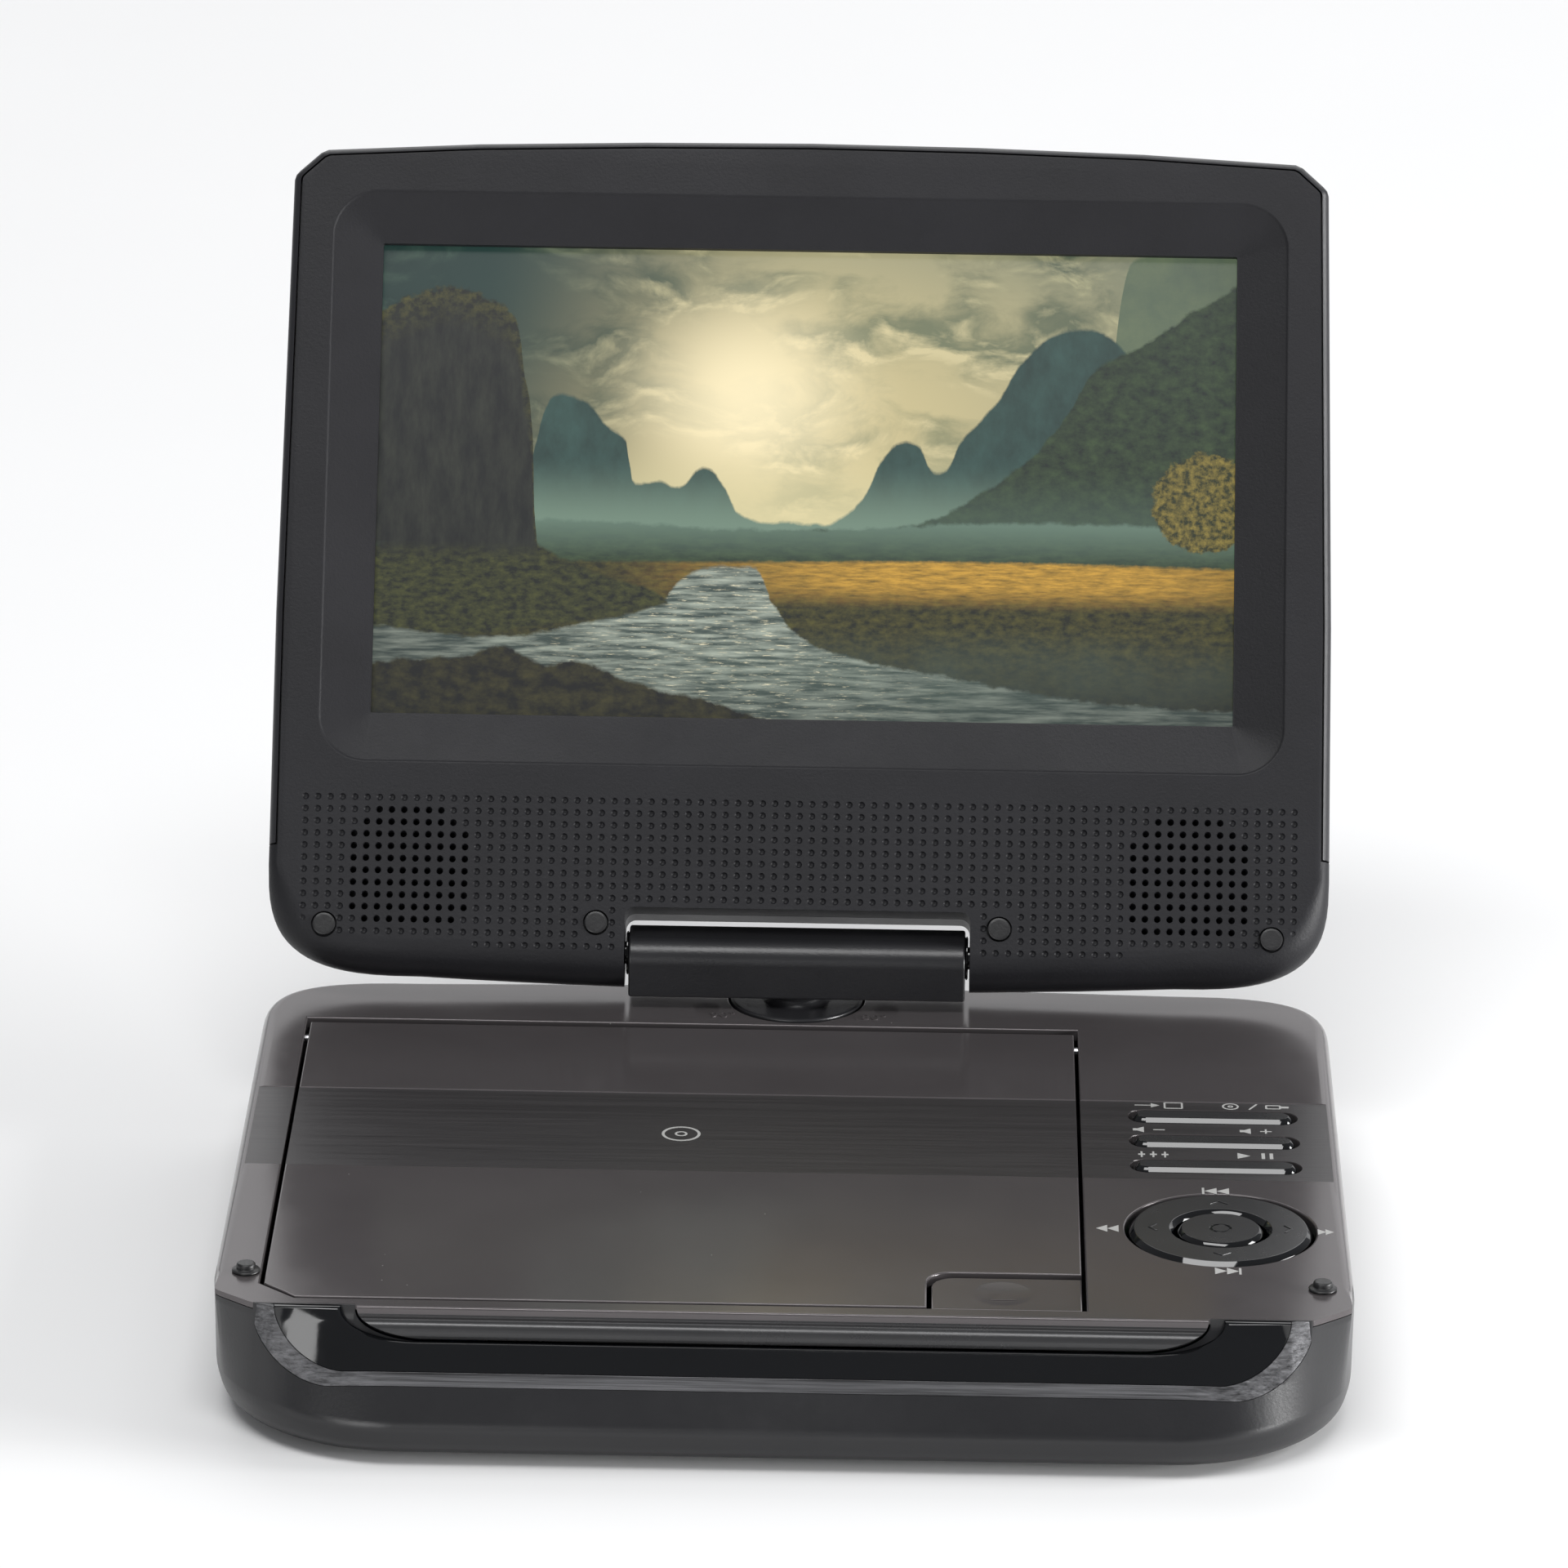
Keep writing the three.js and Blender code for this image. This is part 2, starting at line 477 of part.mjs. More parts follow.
function leadScrew() {
  let screw = rod(LEAD.r, "y", [LEAD.x, LEAD.z], RODS.y0 - 1, RODS.y1, 8);
  for (let y = -80; y < -34; y += 10) {
    screw = screw.add(rod(LEAD.r + 0.25, "y", [LEAD.x, LEAD.z], y, y + 1, 8));
  }
  return screw;
}

const sledMotor = () =>
  rod(3.9, "y", [LEAD.x, LEAD.z], RODS.y1 + 1.5, -10, 18).intersect(slab(CHASSIS.high + PLAY, TOP - 10.4));

function discCover() {
  const c = COVER;
  const outline = [[c.cut[0], c.y0], [EJECT.x0 - GAP, c.y0]];
  const corner = [EJECT.x0 - GAP + EJECT.r, EJECT.y1 + GAP - EJECT.r];
  for (let i = 0; i <= 4; i++) {
    const a = rad(180 - (90 * i) / 4);
    outline.push([corner[0] + EJECT.r * Math.cos(a), corner[1] + EJECT.r * Math.sin(a)]);
  }
  outline.push([c.x1, EJECT.y1 + GAP], [c.x1, c.y1], [c.x0, c.y1], [c.x0, c.cut[1]]);
  let cover = prism(outline, TOP - c.t, TOP);
  cover = cover.subtract(block(-FAR, FAR, c.y1 - 0.7, FAR, TOP - 0.5, TOP + 1));
  for (const x of [c.x0 + 0.2, c.x1 - 2]) {
    const ear = block(x, x + 1.8, PIVOT.y - 2, PIVOT.y + 1.2, PIVOT.z - 1.9, TOP - c.t + 0.2);
    cover = cover.add(ear).subtract(rod(PIVOT.r + PLAY, "x", [PIVOT.y, PIVOT.z], x - 0.4, x + 2.2, 12));
  }
  return cover.add(block(33, 39, -65.6, -64.4, TOP - 6.2, TOP - c.t + 0.2))
    .add(block(33, 39, -66.7, -65.4, TOP - 6.2, TOP - 5.2));
}

const coverPin = (x0, x1) => rod(PIVOT.r, "x", [PIVOT.y, PIVOT.z], x0, x1, 12);

function ejectButton() {
  const [x0, x1, y0, y1] = [EJECT.x0, COVER.x1, COVER.y0, EJECT.y1 - GAP];
  const outline = [[x0, y0], [x1, y0], [x1, y1]];
  for (let i = 0; i <= 4; i++) {
    const a = rad(90 + (90 * i) / 4);
    outline.push([x0 + EJECT.r + EJECT.r * Math.cos(a), y1 - EJECT.r + EJECT.r * Math.sin(a)]);
  }
  const stem = block(34, 38, -78, -72, TOP - 7.4, TOP - 2);
  return prism(outline, TOP - 2.2, TOP).add(stem);
}

// ---------------------------------------------------------------- keys and electronics
function rockerKey(y) {
  const cap = prism(stadium(KEYS.x, y, KEYS.length, KEYS.width, -0.4), TOP - 0.1, TOP + 0.3)
    .add(prism(stadium(KEYS.x, y, KEYS.length, KEYS.width, 0), TOP - 2.6, TOP - 0.1));
  return cap.add(block(KEYS.x - 1.2, KEYS.x + 1.2, y - 1.6, y + 1.6, TOP - 3.4, TOP - 2.5));
}

function padRing() {
  const z = TOP + 0.3;
  const profile = [
    [PAD.innerR, TOP - 2.6], [PAD.outerR, TOP - 2.6], [PAD.outerR, z - 0.4], [PAD.outerR - 0.5, z],
    [PAD.innerR + 0.5, z], [PAD.innerR, z - 0.4], [PAD.innerR, TOP - 2.6],
  ];
  return turned(profile, PAD.x, PAD.y, 32);
}

function padCarrier() {
  let carrier = rod(13.4, "z", [PAD.x, PAD.y], TOP - 3.9, TOP - 3.2, 24);
  carrier = carrier.subtract(rod(8.4, "z", [PAD.x, PAD.y], 0, TOP, 20));
  return carrier;
}

function okKey() {
  const z = TOP + 0.3;
  const profile = [[0, TOP - 3], [PAD.okR, TOP - 3], [PAD.okR, z - 0.4], [PAD.okR - 0.5, z], [0, z]];
  return turned(profile, PAD.x, PAD.y, 24);
}

const keyBoard = () => block(54.5, 90.4, -64, 12.5, TOP - 6.6, TOP - 5.2);
function mainBoard() {
  const board = block(55, 88.8, -58, 44, PORT_Z - 5.4, PORT_Z - 3.9);
  return SCREWS.reduce((b, [x, y]) => b.subtract(rod(BOSS_R + 0.6, "z", [x, y], 0, TOP, 12)), board);
}
const batteryPack = () => prism(roundedRect(-82, -50, -66, 22, 4), FLOOR + 0.3, TOP - 9.6);

function dcJack() {
  const y = PORTS.dc.y;
  const body = block(79, 91.4, y - 4.5, y + 4.5, PORT_Z - 3.6, PORT_Z + 4.2);
  const bore = rod(2.75, "x", [y, PORT_Z], 83, FAR, 16);
  return body.subtract(bore).add(rod(1, "x", [y, PORT_Z], 82.5, 91.5, 10));
}
function phonesJack() {
  const y = PORTS.phones.y;
  const body = block(80, 91.4, y - 3.6, y + 3.6, PORT_Z - 3.6, PORT_Z + 3.2);
  return body.subtract(rod(1.8, "x", [y, PORT_Z], 81.5, FAR, 14));
}
function usbPort() {
  const y = PORTS.usb.y;
  const shell = block(79, 93.6, y - 6.8, y + 6.8, PORT_Z - 3.1, PORT_Z + 3.1);
  const mouth = block(80.5, FAR, y - 6.3, y + 6.3, PORT_Z - 2.6, PORT_Z + 2.6);
  return shell.subtract(mouth).add(block(80, 91, y - 5.6, y + 5.6, PORT_Z + 1.9, PORT_Z + 2.8));
}
function powerSwitch() {
  const y = PORTS.power.y - 2;
  const knob = block(90.9, HALF_W - 0.1, y - 2.2, y + 2.2, PORT_Z - 1.4, PORT_Z + 1.4);
  return knob.add(block(89.7, 91.6, y - 2.8, y + 2.8, PORT_Z - 2.6, PORT_Z + 2.6));
}

// ---------------------------------------------------------------- hinge

function swivelDisc() {
  const block0 = TOP + AXIS_UP + BLOCK.low - GAP;
  const profile = [
    [0, TOP - 8], [SWIVEL.threadR, TOP - 8], [SWIVEL.threadR, TOP - 5.2], [SWIVEL.bushR, TOP - 5.2],
    [SWIVEL.bushR, TOP - 2.6], [SWIVEL.discR, TOP - 2.6], [SWIVEL.discR, TOP + 0.1],
    [SWIVEL.discR - 0.4, TOP + 0.45], [SWIVEL.neckR + 0.6, TOP + 0.45], [SWIVEL.neckR, TOP + 0.9],
    [SWIVEL.neckR, block0], [0, block0],
  ];
  return turned(profile, 0, SWIVEL_Y, 28);
}
const swivelNut = () => rod(11, "z", [0, SWIVEL_Y], TOP - 7.4, TOP - 5.5, 6)
  .subtract(rod(SWIVEL.threadR + PLAY, "z", [0, SWIVEL_Y], 0, TOP, 20));

// The block is in the frame of the tilt axis, as the lid is, but stays upright.
function hingeBlock() {
  const b = BLOCK;
  const side = b.reach;
  const profile = [[-side, b.low + 0.6], [0.6 - side, b.low], [side - 0.6, b.low], [side, b.low + 0.6]];
  for (const [cx, start] of [[side - b.r, 0], [b.r - side, 90]]) {
    for (let i = 0; i <= 6; i++) {
      const a = rad(start + 15 * i);
      profile.push([cx + b.r * Math.cos(a), b.high - b.r + b.r * Math.sin(a)]);
    }
  }
  const shape = new THREE.Shape(profile.map((p) => new THREE.Vector2(...p)));
  const g = new THREE.ExtrudeGeometry(shape, { depth: 2 * b.halfW, bevelEnabled: false });
  const body = solid(g.rotateY(Math.PI / 2).rotateX(Math.PI / 2).translate(-b.halfW, 0, 0));
  const bore = PIN.r + PLAY;
  const pocket = rod(bore, "x", [0, 0], -b.halfW - 1, -b.halfW + 9, 16)
    .add(rod(bore, "x", [0, 0], b.halfW - 9, b.halfW + 1, 16));
  return body.subtract(pocket);
}
function hingePin(side) {
  const [a, b] = [BLOCK.halfW - 8.5, BLOCK.halfW + 9.5];
  const collar = [BLOCK.halfW + PLAY, NOTCH.halfW - PLAY];
  const span = ([p, q]) => (side > 0 ? [p, q] : [-q, -p]);
  const pin = rod(PIN.r, "x", [0, 0], ...span([a, b]), 16);
  return pin.add(rod(PIN.collarR, "x", [0, 0], ...span(collar), 24));
}

// ---------------------------------------------------------------- lid
// In its own plane: x to the right, y up the picture from the tilt axis, z out of the screen.

function lidBody() {
  const outline = lidOutline();
  const radius = (p) => lerp(FOOT_R, SIDE_R, smooth(p[1], 2, 18));
  const rings = [];
  for (const face of [-1, 1]) {
    for (let i = 0; i <= 6; i++) {
      const a = ((Math.PI / 2) * (face < 0 ? i : 6 - i)) / 6;
      const points = inset(outline, (p) => radius(p) * (1 - Math.sin(a)));
      rings.push(points.map((p, k) => {
        return new THREE.Vector3(p[0], p[1], face * (FACE - radius(outline[k]) * (1 - Math.cos(a))));
      }));
    }
  }
  const notch = roundedRect(-NOTCH.halfW, NOTCH.halfW, -20, NOTCH.top, NOTCH.r);
  return loft(rings).subtract(prism(notch, -20, 20));
}

// The part of the lid that is bezel: its whole face low down, and set in from the edge above the step.
function bezelZone(grow, depthGrow) {
  const upper = inset(lidOutline(), 1.6 - grow).filter((p) => p[1] > BEZEL_STEP_V - 8);
  const top = prism(upper, FACE - 2.4 - depthGrow, FACE + 1);
  const low = block(-FAR, FAR, -30, BEZEL_STEP_V + grow, 0.2 - depthGrow, FACE + 1);
  return top.add(low);
}

function lidHollow() {
  const cavity = prism(inset(lidOutline(), 2.4), -FACE + 1.8, FACE - 1.8)
    .intersect(block(-FAR, FAR, 12.5, 200, -20, 20));
  const sides = [-1, 1].map((s) => {
    return prism(roundedRect(s * 61 - 26, s * 61 + 26, 0.5, 13, 2), -FACE + 2.4, FACE - 1.8);
  });
  return sides.reduce((all, one) => all.add(one), cavity);
}

function pictureRecess() {
  const { halfW, low, high, depth } = WINDOW;
  const r = RECESS;
  const ring = (z, k) => {
    const x = lerp(halfW, r.halfW, k);
    return ringAt(roundedRect(-x, x, lerp(low, r.low, k), lerp(high, r.high, k), lerp(0.3, r.r, k)), z);
  };
  return loft([ring(-FACE, 0), ring(FACE - depth, 0), ring(FACE - 0.01, 1), ring(FACE + 2, 1)]);
}

const pinSeats = () =>
  rod(PIN.r + PLAY, "x", [0, 0], 20, PIN.seat, 16).add(rod(PIN.r + PLAY, "x", [0, 0], -PIN.seat, -20, 16));

function lidBezel() {
  let bezel = lidBody().intersect(bezelZone(0, 0)).subtract(lidHollow()).subtract(pinSeats());
  bezel = bezel.add(block(-84.5, 84.5, 31, 139.5, FACE - 4.4, FACE - 1.2)).subtract(pictureRecess());
  for (const s of [-1, 1]) {
    for (const [x, v] of LID_PADS) {
      bezel = bezel.subtract(rod(LID_PAD_R + PLAY, "z", [s * x, v], FACE - 0.9, FACE + 2, 18));
    }
  }
  return bezel;
}

function lidBackCover() {
  return lidBody().subtract(bezelZone(GAP, GAP)).subtract(lidHollow()).subtract(pinSeats());
}

function lidPad(x, v) {
  const [low, top, r] = [FACE - 0.6, FACE + 0.4, LID_PAD_R];
  return turned([[0, low], [r, low], [r, top - 0.15], [r - 0.3, top], [0, top]], x, v, 14);
}

const lcdGlass = () => block(-81.5, 81.5, 38, 133, FACE - 5.4, FACE - 4.7);
const lcdPanel = () => block(-82.5, 82.5, 36.5, 134.5, FACE - 8.6, FACE - 5.7);
const lcdBoard = () => block(-40, 40, 60, 110, -FACE + 2.1, -FACE + 3.6);
function speaker(side) {
  const z = FACE - 2.1;
  const profile = [
    [0, z - 7.6], [7.5, z - 7.6], [7.5, z - 4], [SPEAKER.r, z - 2], [SPEAKER.r, z], [SPEAKER.r - 1.2, z],
    [SPEAKER.r - 1.6, z - 0.4], [4, z - 3.2], [0, z - 3.2],
  ];
  return turned(profile, side * SPEAKER.x, SPEAKER.v, 24).intersect(block(-FAR, FAR, 0.9, FAR, -20, 20));
}

// ---------------------------------------------------------------- materials
function paint(color, roughness, metalness = 0) {
  return new THREE.MeshStandardMaterial({ color, roughness, metalness });
}

const MATERIAL = {
  plate: paint(0x3c3b3c, 0.35, 0.3),
  shell: paint(0x2a2b2d, 0.5),
  strip: paint(0x6d6d6d, 0.4, 0.6),
  gloss: paint(0x0b0c0e, 0.08),
  bezel: paint(0x26272b, 0.55),
  lid: paint(0x303033, 0.45),
  hinge: paint(0x1a1b1c, 0.4),
  key: paint(0x3a3a3b, 0.3, 0.2),
  rubber: paint(0x1c1c1e, 0.9),
  steel: paint(0xb4b5b8, 0.3, 1),
  inner: paint(0x202123, 0.6),
  board: paint(0x1f5a36, 0.6),
  battery: paint(0x3f5f8f, 0.5),
  lens: paint(0x2f4a78, 0.05),
  glass: paint(0x0c1012, 0.03),
  screen: paint(0x4c5a45, 0.3),
  brass: paint(0xb08d4c, 0.35, 1),
};

function add(group, name, body, material) {
  const mesh = new THREE.Mesh(geometryOf(body), MATERIAL[material].clone());
  mesh.name = name;
  group.add(mesh);
}

// ---------------------------------------------------------------- assembly
function baseGroup() {
  const g = new THREE.Group();
  add(g, "bottom_shell", bottomShell(), "shell");
  add(g, "top_frame", topFrame(), "plate");
  add(g, "front_trim_strip", frontTrimStrip(), "strip");
  add(g, "front_gloss_panel", frontGlossPanel(), "gloss");
  FEET.forEach((at, i) => add(g, `foot_${i + 1}`, foot(at), "rubber"));
  SCREWS.forEach((at, i) => add(g, `case_screw_${i + 1}`, caseScrew(at), "steel"));
  add(g, "stop_peg_left", stopPeg(-1), "rubber");
  add(g, "stop_peg_right", stopPeg(1), "rubber");
  add(g, "disc_deck", discDeck(), "inner");
  add(g, "drive_chassis", driveChassis(), "steel");
  DAMPERS.forEach((at, i) => add(g, `drive_damper_${i + 1}`, damper(at), "rubber"));
  add(g, "guide_rod_left", guideRod(-1), "steel");
  add(g, "guide_rod_right", guideRod(1), "steel");
  add(g, "spindle_motor", spindleMotor(), "steel");
  add(g, "turntable", turntable(), "inner");
  add(g, "laser_pickup", laserPickup(), "inner");
  add(g, "pickup_lens", pickupLens(), "lens");
  add(g, "lead_screw", leadScrew(), "brass");
  add(g, "sled_motor", sledMotor(), "steel");
  add(g, "disc_cover", discCover(), "plate");
  add(g, "cover_pin_left", coverPin(-87.9, -84.1), "steel");
  add(g, "cover_pin_right", coverPin(47.6, 51.6), "steel");
  add(g, "eject_button", ejectButton(), "plate");
  add(g, "source_key", rockerKey(KEYS.ys[0]), "key");
  add(g, "volume_key", rockerKey(KEYS.ys[1]), "key");
  add(g, "setup_key", rockerKey(KEYS.ys[2]), "key");
  add(g, "pad_ring", padRing(), "key");
  add(g, "pad_carrier", padCarrier(), "inner");
  add(g, "ok_key", okKey(), "key");
  add(g, "key_board", keyBoard(), "board");
  add(g, "main_board", mainBoard(), "board");
  add(g, "battery_pack", batteryPack(), "battery");
  add(g, "dc_jack", dcJack(), "inner");
  add(g, "phones_jack", phonesJack(), "inner");
  add(g, "usb_port", usbPort(), "steel");
  add(g, "power_switch", powerSwitch(), "inner");
  return g;
}

function hingeGroup() {
  const g = new THREE.Group();
  add(g, "swivel_disc", swivelDisc(), "hinge");
  add(g, "swivel_nut", swivelNut(), "steel");
  const upright = new THREE.Group();
  upright.position.set(0, SWIVEL_Y, TOP + AXIS_UP);
  add(upright, "hinge_block", hingeBlock(), "hinge");
  add(upright, "hinge_pin_left", hingePin(-1), "hinge");
  add(upright, "hinge_pin_right", hingePin(1), "hinge");
  g.add(upright);
  return g;
}

function lidGroup() {
  const g = new THREE.Group();
  g.position.set(0, SWIVEL_Y, TOP + AXIS_UP);
  g.rotation.x = rad(180 - LID_OPEN);
  add(g, "lid_bezel", lidBezel(), "bezel");
  add(g, "lid_back_cover", lidBackCover(), "lid");
  add(g, "lcd_glass", lcdGlass(), "glass");
  add(g, "lcd_panel", lcdPanel(), "screen");
  add(g, "lcd_board", lcdBoard(), "board");
  add(g, "speaker_left", speaker(-1), "inner");
  add(g, "speaker_right", speaker(1), "inner");
  const names = ["outer_left", "inner_left", "inner_right", "outer_right"];
  const places = [[-1, 0], [-1, 1], [1, 1], [1, 0]];
  places.forEach(([s, k], i) => {
    add(g, `lid_pad_${names[i]}`, lidPad(s * LID_PADS[k][0], LID_PADS[k][1]), "rubber");
  });
  return g;
}

const player = new THREE.Group();
player.add(baseGroup(), hingeGroup(), lidGroup());
const box = new THREE.Box3().setFromObject(player);
player.position.set(0, -(box.min.y + box.max.y) / 2, 0);

export default player;
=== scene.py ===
import json
import math

import bmesh
import bpy
from mathutils import Matrix, Vector


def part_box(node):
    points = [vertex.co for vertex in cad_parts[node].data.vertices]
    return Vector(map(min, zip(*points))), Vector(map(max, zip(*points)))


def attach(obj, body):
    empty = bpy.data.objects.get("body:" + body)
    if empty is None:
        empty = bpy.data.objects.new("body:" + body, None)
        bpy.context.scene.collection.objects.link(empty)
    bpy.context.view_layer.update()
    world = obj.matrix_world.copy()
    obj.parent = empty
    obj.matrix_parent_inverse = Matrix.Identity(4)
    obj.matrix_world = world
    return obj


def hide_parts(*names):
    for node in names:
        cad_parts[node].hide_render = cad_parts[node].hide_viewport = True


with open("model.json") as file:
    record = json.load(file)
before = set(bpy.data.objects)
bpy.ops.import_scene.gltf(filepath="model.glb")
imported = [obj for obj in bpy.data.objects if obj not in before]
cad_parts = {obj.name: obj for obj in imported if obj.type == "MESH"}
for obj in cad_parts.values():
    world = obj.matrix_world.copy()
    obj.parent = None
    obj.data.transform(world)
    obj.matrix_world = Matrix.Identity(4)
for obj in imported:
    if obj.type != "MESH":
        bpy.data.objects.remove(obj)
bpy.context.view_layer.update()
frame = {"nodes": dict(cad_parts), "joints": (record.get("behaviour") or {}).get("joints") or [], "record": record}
MM = 0.001

# ---------------------------------------------------------------- places read from the frame
JOINTS = {j["name"]: j for j in frame["joints"]}
AXIS = Vector(JOINTS["lid_tilt"]["pos_m"])  # where the tilt and swivel axes cross
SWIVEL_Y = 60.0  # the swivel axis in the base's own millimetres
ZERO_Y = AXIS.y - SWIVEL_Y * MM  # the base's own zero line
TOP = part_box("disc_cover")[1].z / MM  # height of the base's flat top, in millimetres
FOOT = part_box("bottom_shell")[0].z / MM
LID_OPEN = JOINTS["lid_tilt"]["range_deg"][1]  # degrees between the shut lid and the lid as it stands
BASE = Matrix.Translation((0, ZERO_Y, 0)) @ Matrix.Scale(MM, 4)
LID = Matrix.Translation(AXIS) @ Matrix.Rotation(math.radians(180 - LID_OPEN), 4, "X") @ Matrix.Scale(MM, 4)

# ---------------------------------------------------------------- driving sizes, in millimetres
FAR = 99.0  # further out than any part of the base
HALF_W = 94.4
GAP = 0.35
WALL = 2.4
PLATE_FRONT = -84.5
SPLIT_Z = TOP - 8
CREASE_Z = TOP - 17.2
SLOPE_TOP_Y, SLOPE_LOW_Y = -86.1, -96.4
COVER = dict(x0=-85.9, x1=49.4, y0=-81.6, y1=44.9, cut=(-80.3, -76.2))
EJECT = dict(x0=24.1, y1=-67.0, r=4.0)
BAND = (12.9, -23.3)
BAND_SINK = 0.13
KEY_RISE = 0.3
KEY_X, KEY_YS, KEY_LEN, KEY_W = 72.8, (6.0, -5.5, -17.0), 27.6, 4.6
PAD = dict(x=72.8, y=-45.8, slot=16.1, outer=15.4, inner=7.8, ok=7.2)
FACE = 6.5  # the bezel's front above the tilt axis, square to the lid
WINDOW = dict(w=77.04, low=42.2, high=128.8)
RECESS = dict(w=86.1, low=32.8, high=137.9, r=8.5)
PEG_X, PEG_Y = 89, -71.3
COVER_PIN = (43.4, TOP - 2.9)  # y and z of the axis the disc cover turns on
SWIVEL_R = 11.8
HINGE_PIN_BORE = 2.3


# ---------------------------------------------------------------- node trees
class Nodes:
    """A material's node tree, with short calls for the few kinds of node that are used."""

    def __init__(self, name):
        self.material = bpy.data.materials.new(name)
        self.material.use_nodes = True
        self.tree = self.material.node_tree
        self.shader = self.tree.nodes["Principled BSDF"]

    def node(self, kind, **settings):
        n = self.tree.nodes.new("ShaderNode" + kind)
        for key, value in settings.items():
            setattr(n, key, value)
        return n

    def put(self, value, socket):
        if isinstance(value, bpy.types.NodeSocket):
            self.tree.links.new(value, socket)
        elif value is not None:
            socket.default_value = value

    def math(self, operation, *values):
        n = self.node("Math", operation=operation)
        for value, socket in zip(values, n.inputs):
            self.put(value, socket)
        return n.outputs[0]

    def times(self, a, b):
        return self.math("MULTIPLY", a, b)

    def plus(self, a, b):
        return self.math("ADD", a, b)

    def minus(self, a, b):
        return self.math("SUBTRACT", a, b)

    def position(self):
        return self.node("TexCoord").outputs["Object"]

    def split(self, vector):
        n = self.node("SeparateXYZ")
        self.put(vector, n.inputs[0])
        return n.outputs

    def scaled(self, vector, scale):
        n = self.node("Mapping")
        self.put(vector, n.inputs["Vector"])
        n.inputs["Scale"].default_value = scale
        return n.outputs[0]

    def noise(self, vector, scale, detail=2.0, rough=0.5):
        n = self.node("TexNoise", noise_type="FBM", noise_dimensions="3D", normalize=True)
        self.put(vector, n.inputs["Vector"])
        n.inputs["Scale"].default_value = scale
        n.inputs["Detail"].default_value = detail
        n.inputs["Roughness"].default_value = rough
        return n.outputs[0]

    def cells(self, scale):
        """The outputs of a Voronoi pattern: the distance to each cell's middle and a colour for the cell."""
        n = self.node("TexVoronoi", feature="F1")
        self.put(self.position(), n.inputs["Vector"])
        n.inputs["Scale"].default_value = scale
        return n.outputs

    def remap(self, value, a, b, c=0.0, d=1.0, smooth=False):
        n = self.node("MapRange", interpolation_type="SMOOTHSTEP" if smooth else "LINEAR")
        self.put(value, n.inputs[0])
        for k, v in enumerate((a, b, c, d)):
            self.put(v, n.inputs[k + 1])
        return n.outputs[0]

    def mix(self, factor, a, b):
        n = self.node("Mix", data_type="RGBA")
        self.put(factor, n.inputs[0])
        self.put(a if isinstance(a, bpy.types.NodeSocket) else (*a, 1), n.inputs[6])
        self.put(b if isinstance(b, bpy.types.NodeSocket) else (*b, 1), n.inputs[7])
        return n.outputs[2]

    def bump(self, height, distance):
        n = self.node("Bump")
        n.inputs["Strength"].default_value = 1.0
        n.inputs["Distance"].default_value = distance
        self.put(height, n.inputs["Height"])
        return n.outputs[0]

    def finish(self, **sockets):
        for name, value in sockets.items():
            if isinstance(value, tuple) and len(value) == 3:
                value = (*value, 1)
            self.put(value, self.shader.inputs[name.replace("_", " ")])
        return self.material


def rgb(code):
    """A linear colour from an sRGB hex code."""
    parts = [int(code[i : i + 2], 16) / 255 for i in (0, 2, 4)]
    return tuple(((p + 0.055) / 1.055) ** 2.4 if p > 0.04045 else p / 12.92 for p in parts)


def wear(n, scale=400.0):
    """Faint smudges and dust, 0 to 1, that vary a finish over a few centimetres."""
    cloud = n.noise(n.position(), 28.0, 4.0, 0.6)
    fine = n.noise(n.position(), scale, 3.0, 0.6)
    return n.times(n.remap(cloud, 0.35, 0.7), n.remap(fine, 0.3, 0.7, 0.6, 1.0))


def specks(n, scale=240.0, share=0.14):
    """A few specks of dust: 1 in the middle of some of the cells of a Voronoi pattern, 0 elsewhere."""
    cells = n.cells(scale)
    near = n.remap(cells["Distance"], 0.02, 0.035, 1.0, 0.0)
    return n.times(near, n.math("LESS_THAN", n.split(cells["Color"])[0], share))


def satin(
    name, colour, roughness=0.42, grain=900.0, depth=0.00003, metallic=0.0, spread=0.12, ior=1.5, dust=0.0,
):
    """Moulded plastic with a spark-eroded grain, or a lacquer with its orange peel, by grain and depth."""
    n = Nodes(name)
    smudge = wear(n)
    grit = n.noise(n.position(), grain, 3.0, 0.65)
    low = tuple(c * (1 - spread) for c in colour)
    high = tuple(min(1, c * (1 + spread)) for c in colour)
    tone = n.mix(n.remap(n.noise(n.position(), 60.0, 5.0, 0.6), 0.3, 0.7), low, high)
    tone = n.mix(n.remap(grit, 0.35, 0.65, 0.0, 0.35), tone, high)
    if dust:
        tone = n.mix(n.times(specks(n), dust), tone, rgb("c9c9c6"))
    worn = n.remap(smudge, 0, 1, roughness - 0.04, roughness + 0.06)
    rough = n.plus(worn, n.remap(grit, 0, 1, -0.02, 0.02))
    return n.finish(
        Base_Color=tone, Roughness=rough, Metallic=metallic, IOR=ior, Normal=n.bump(grit, depth),
    )


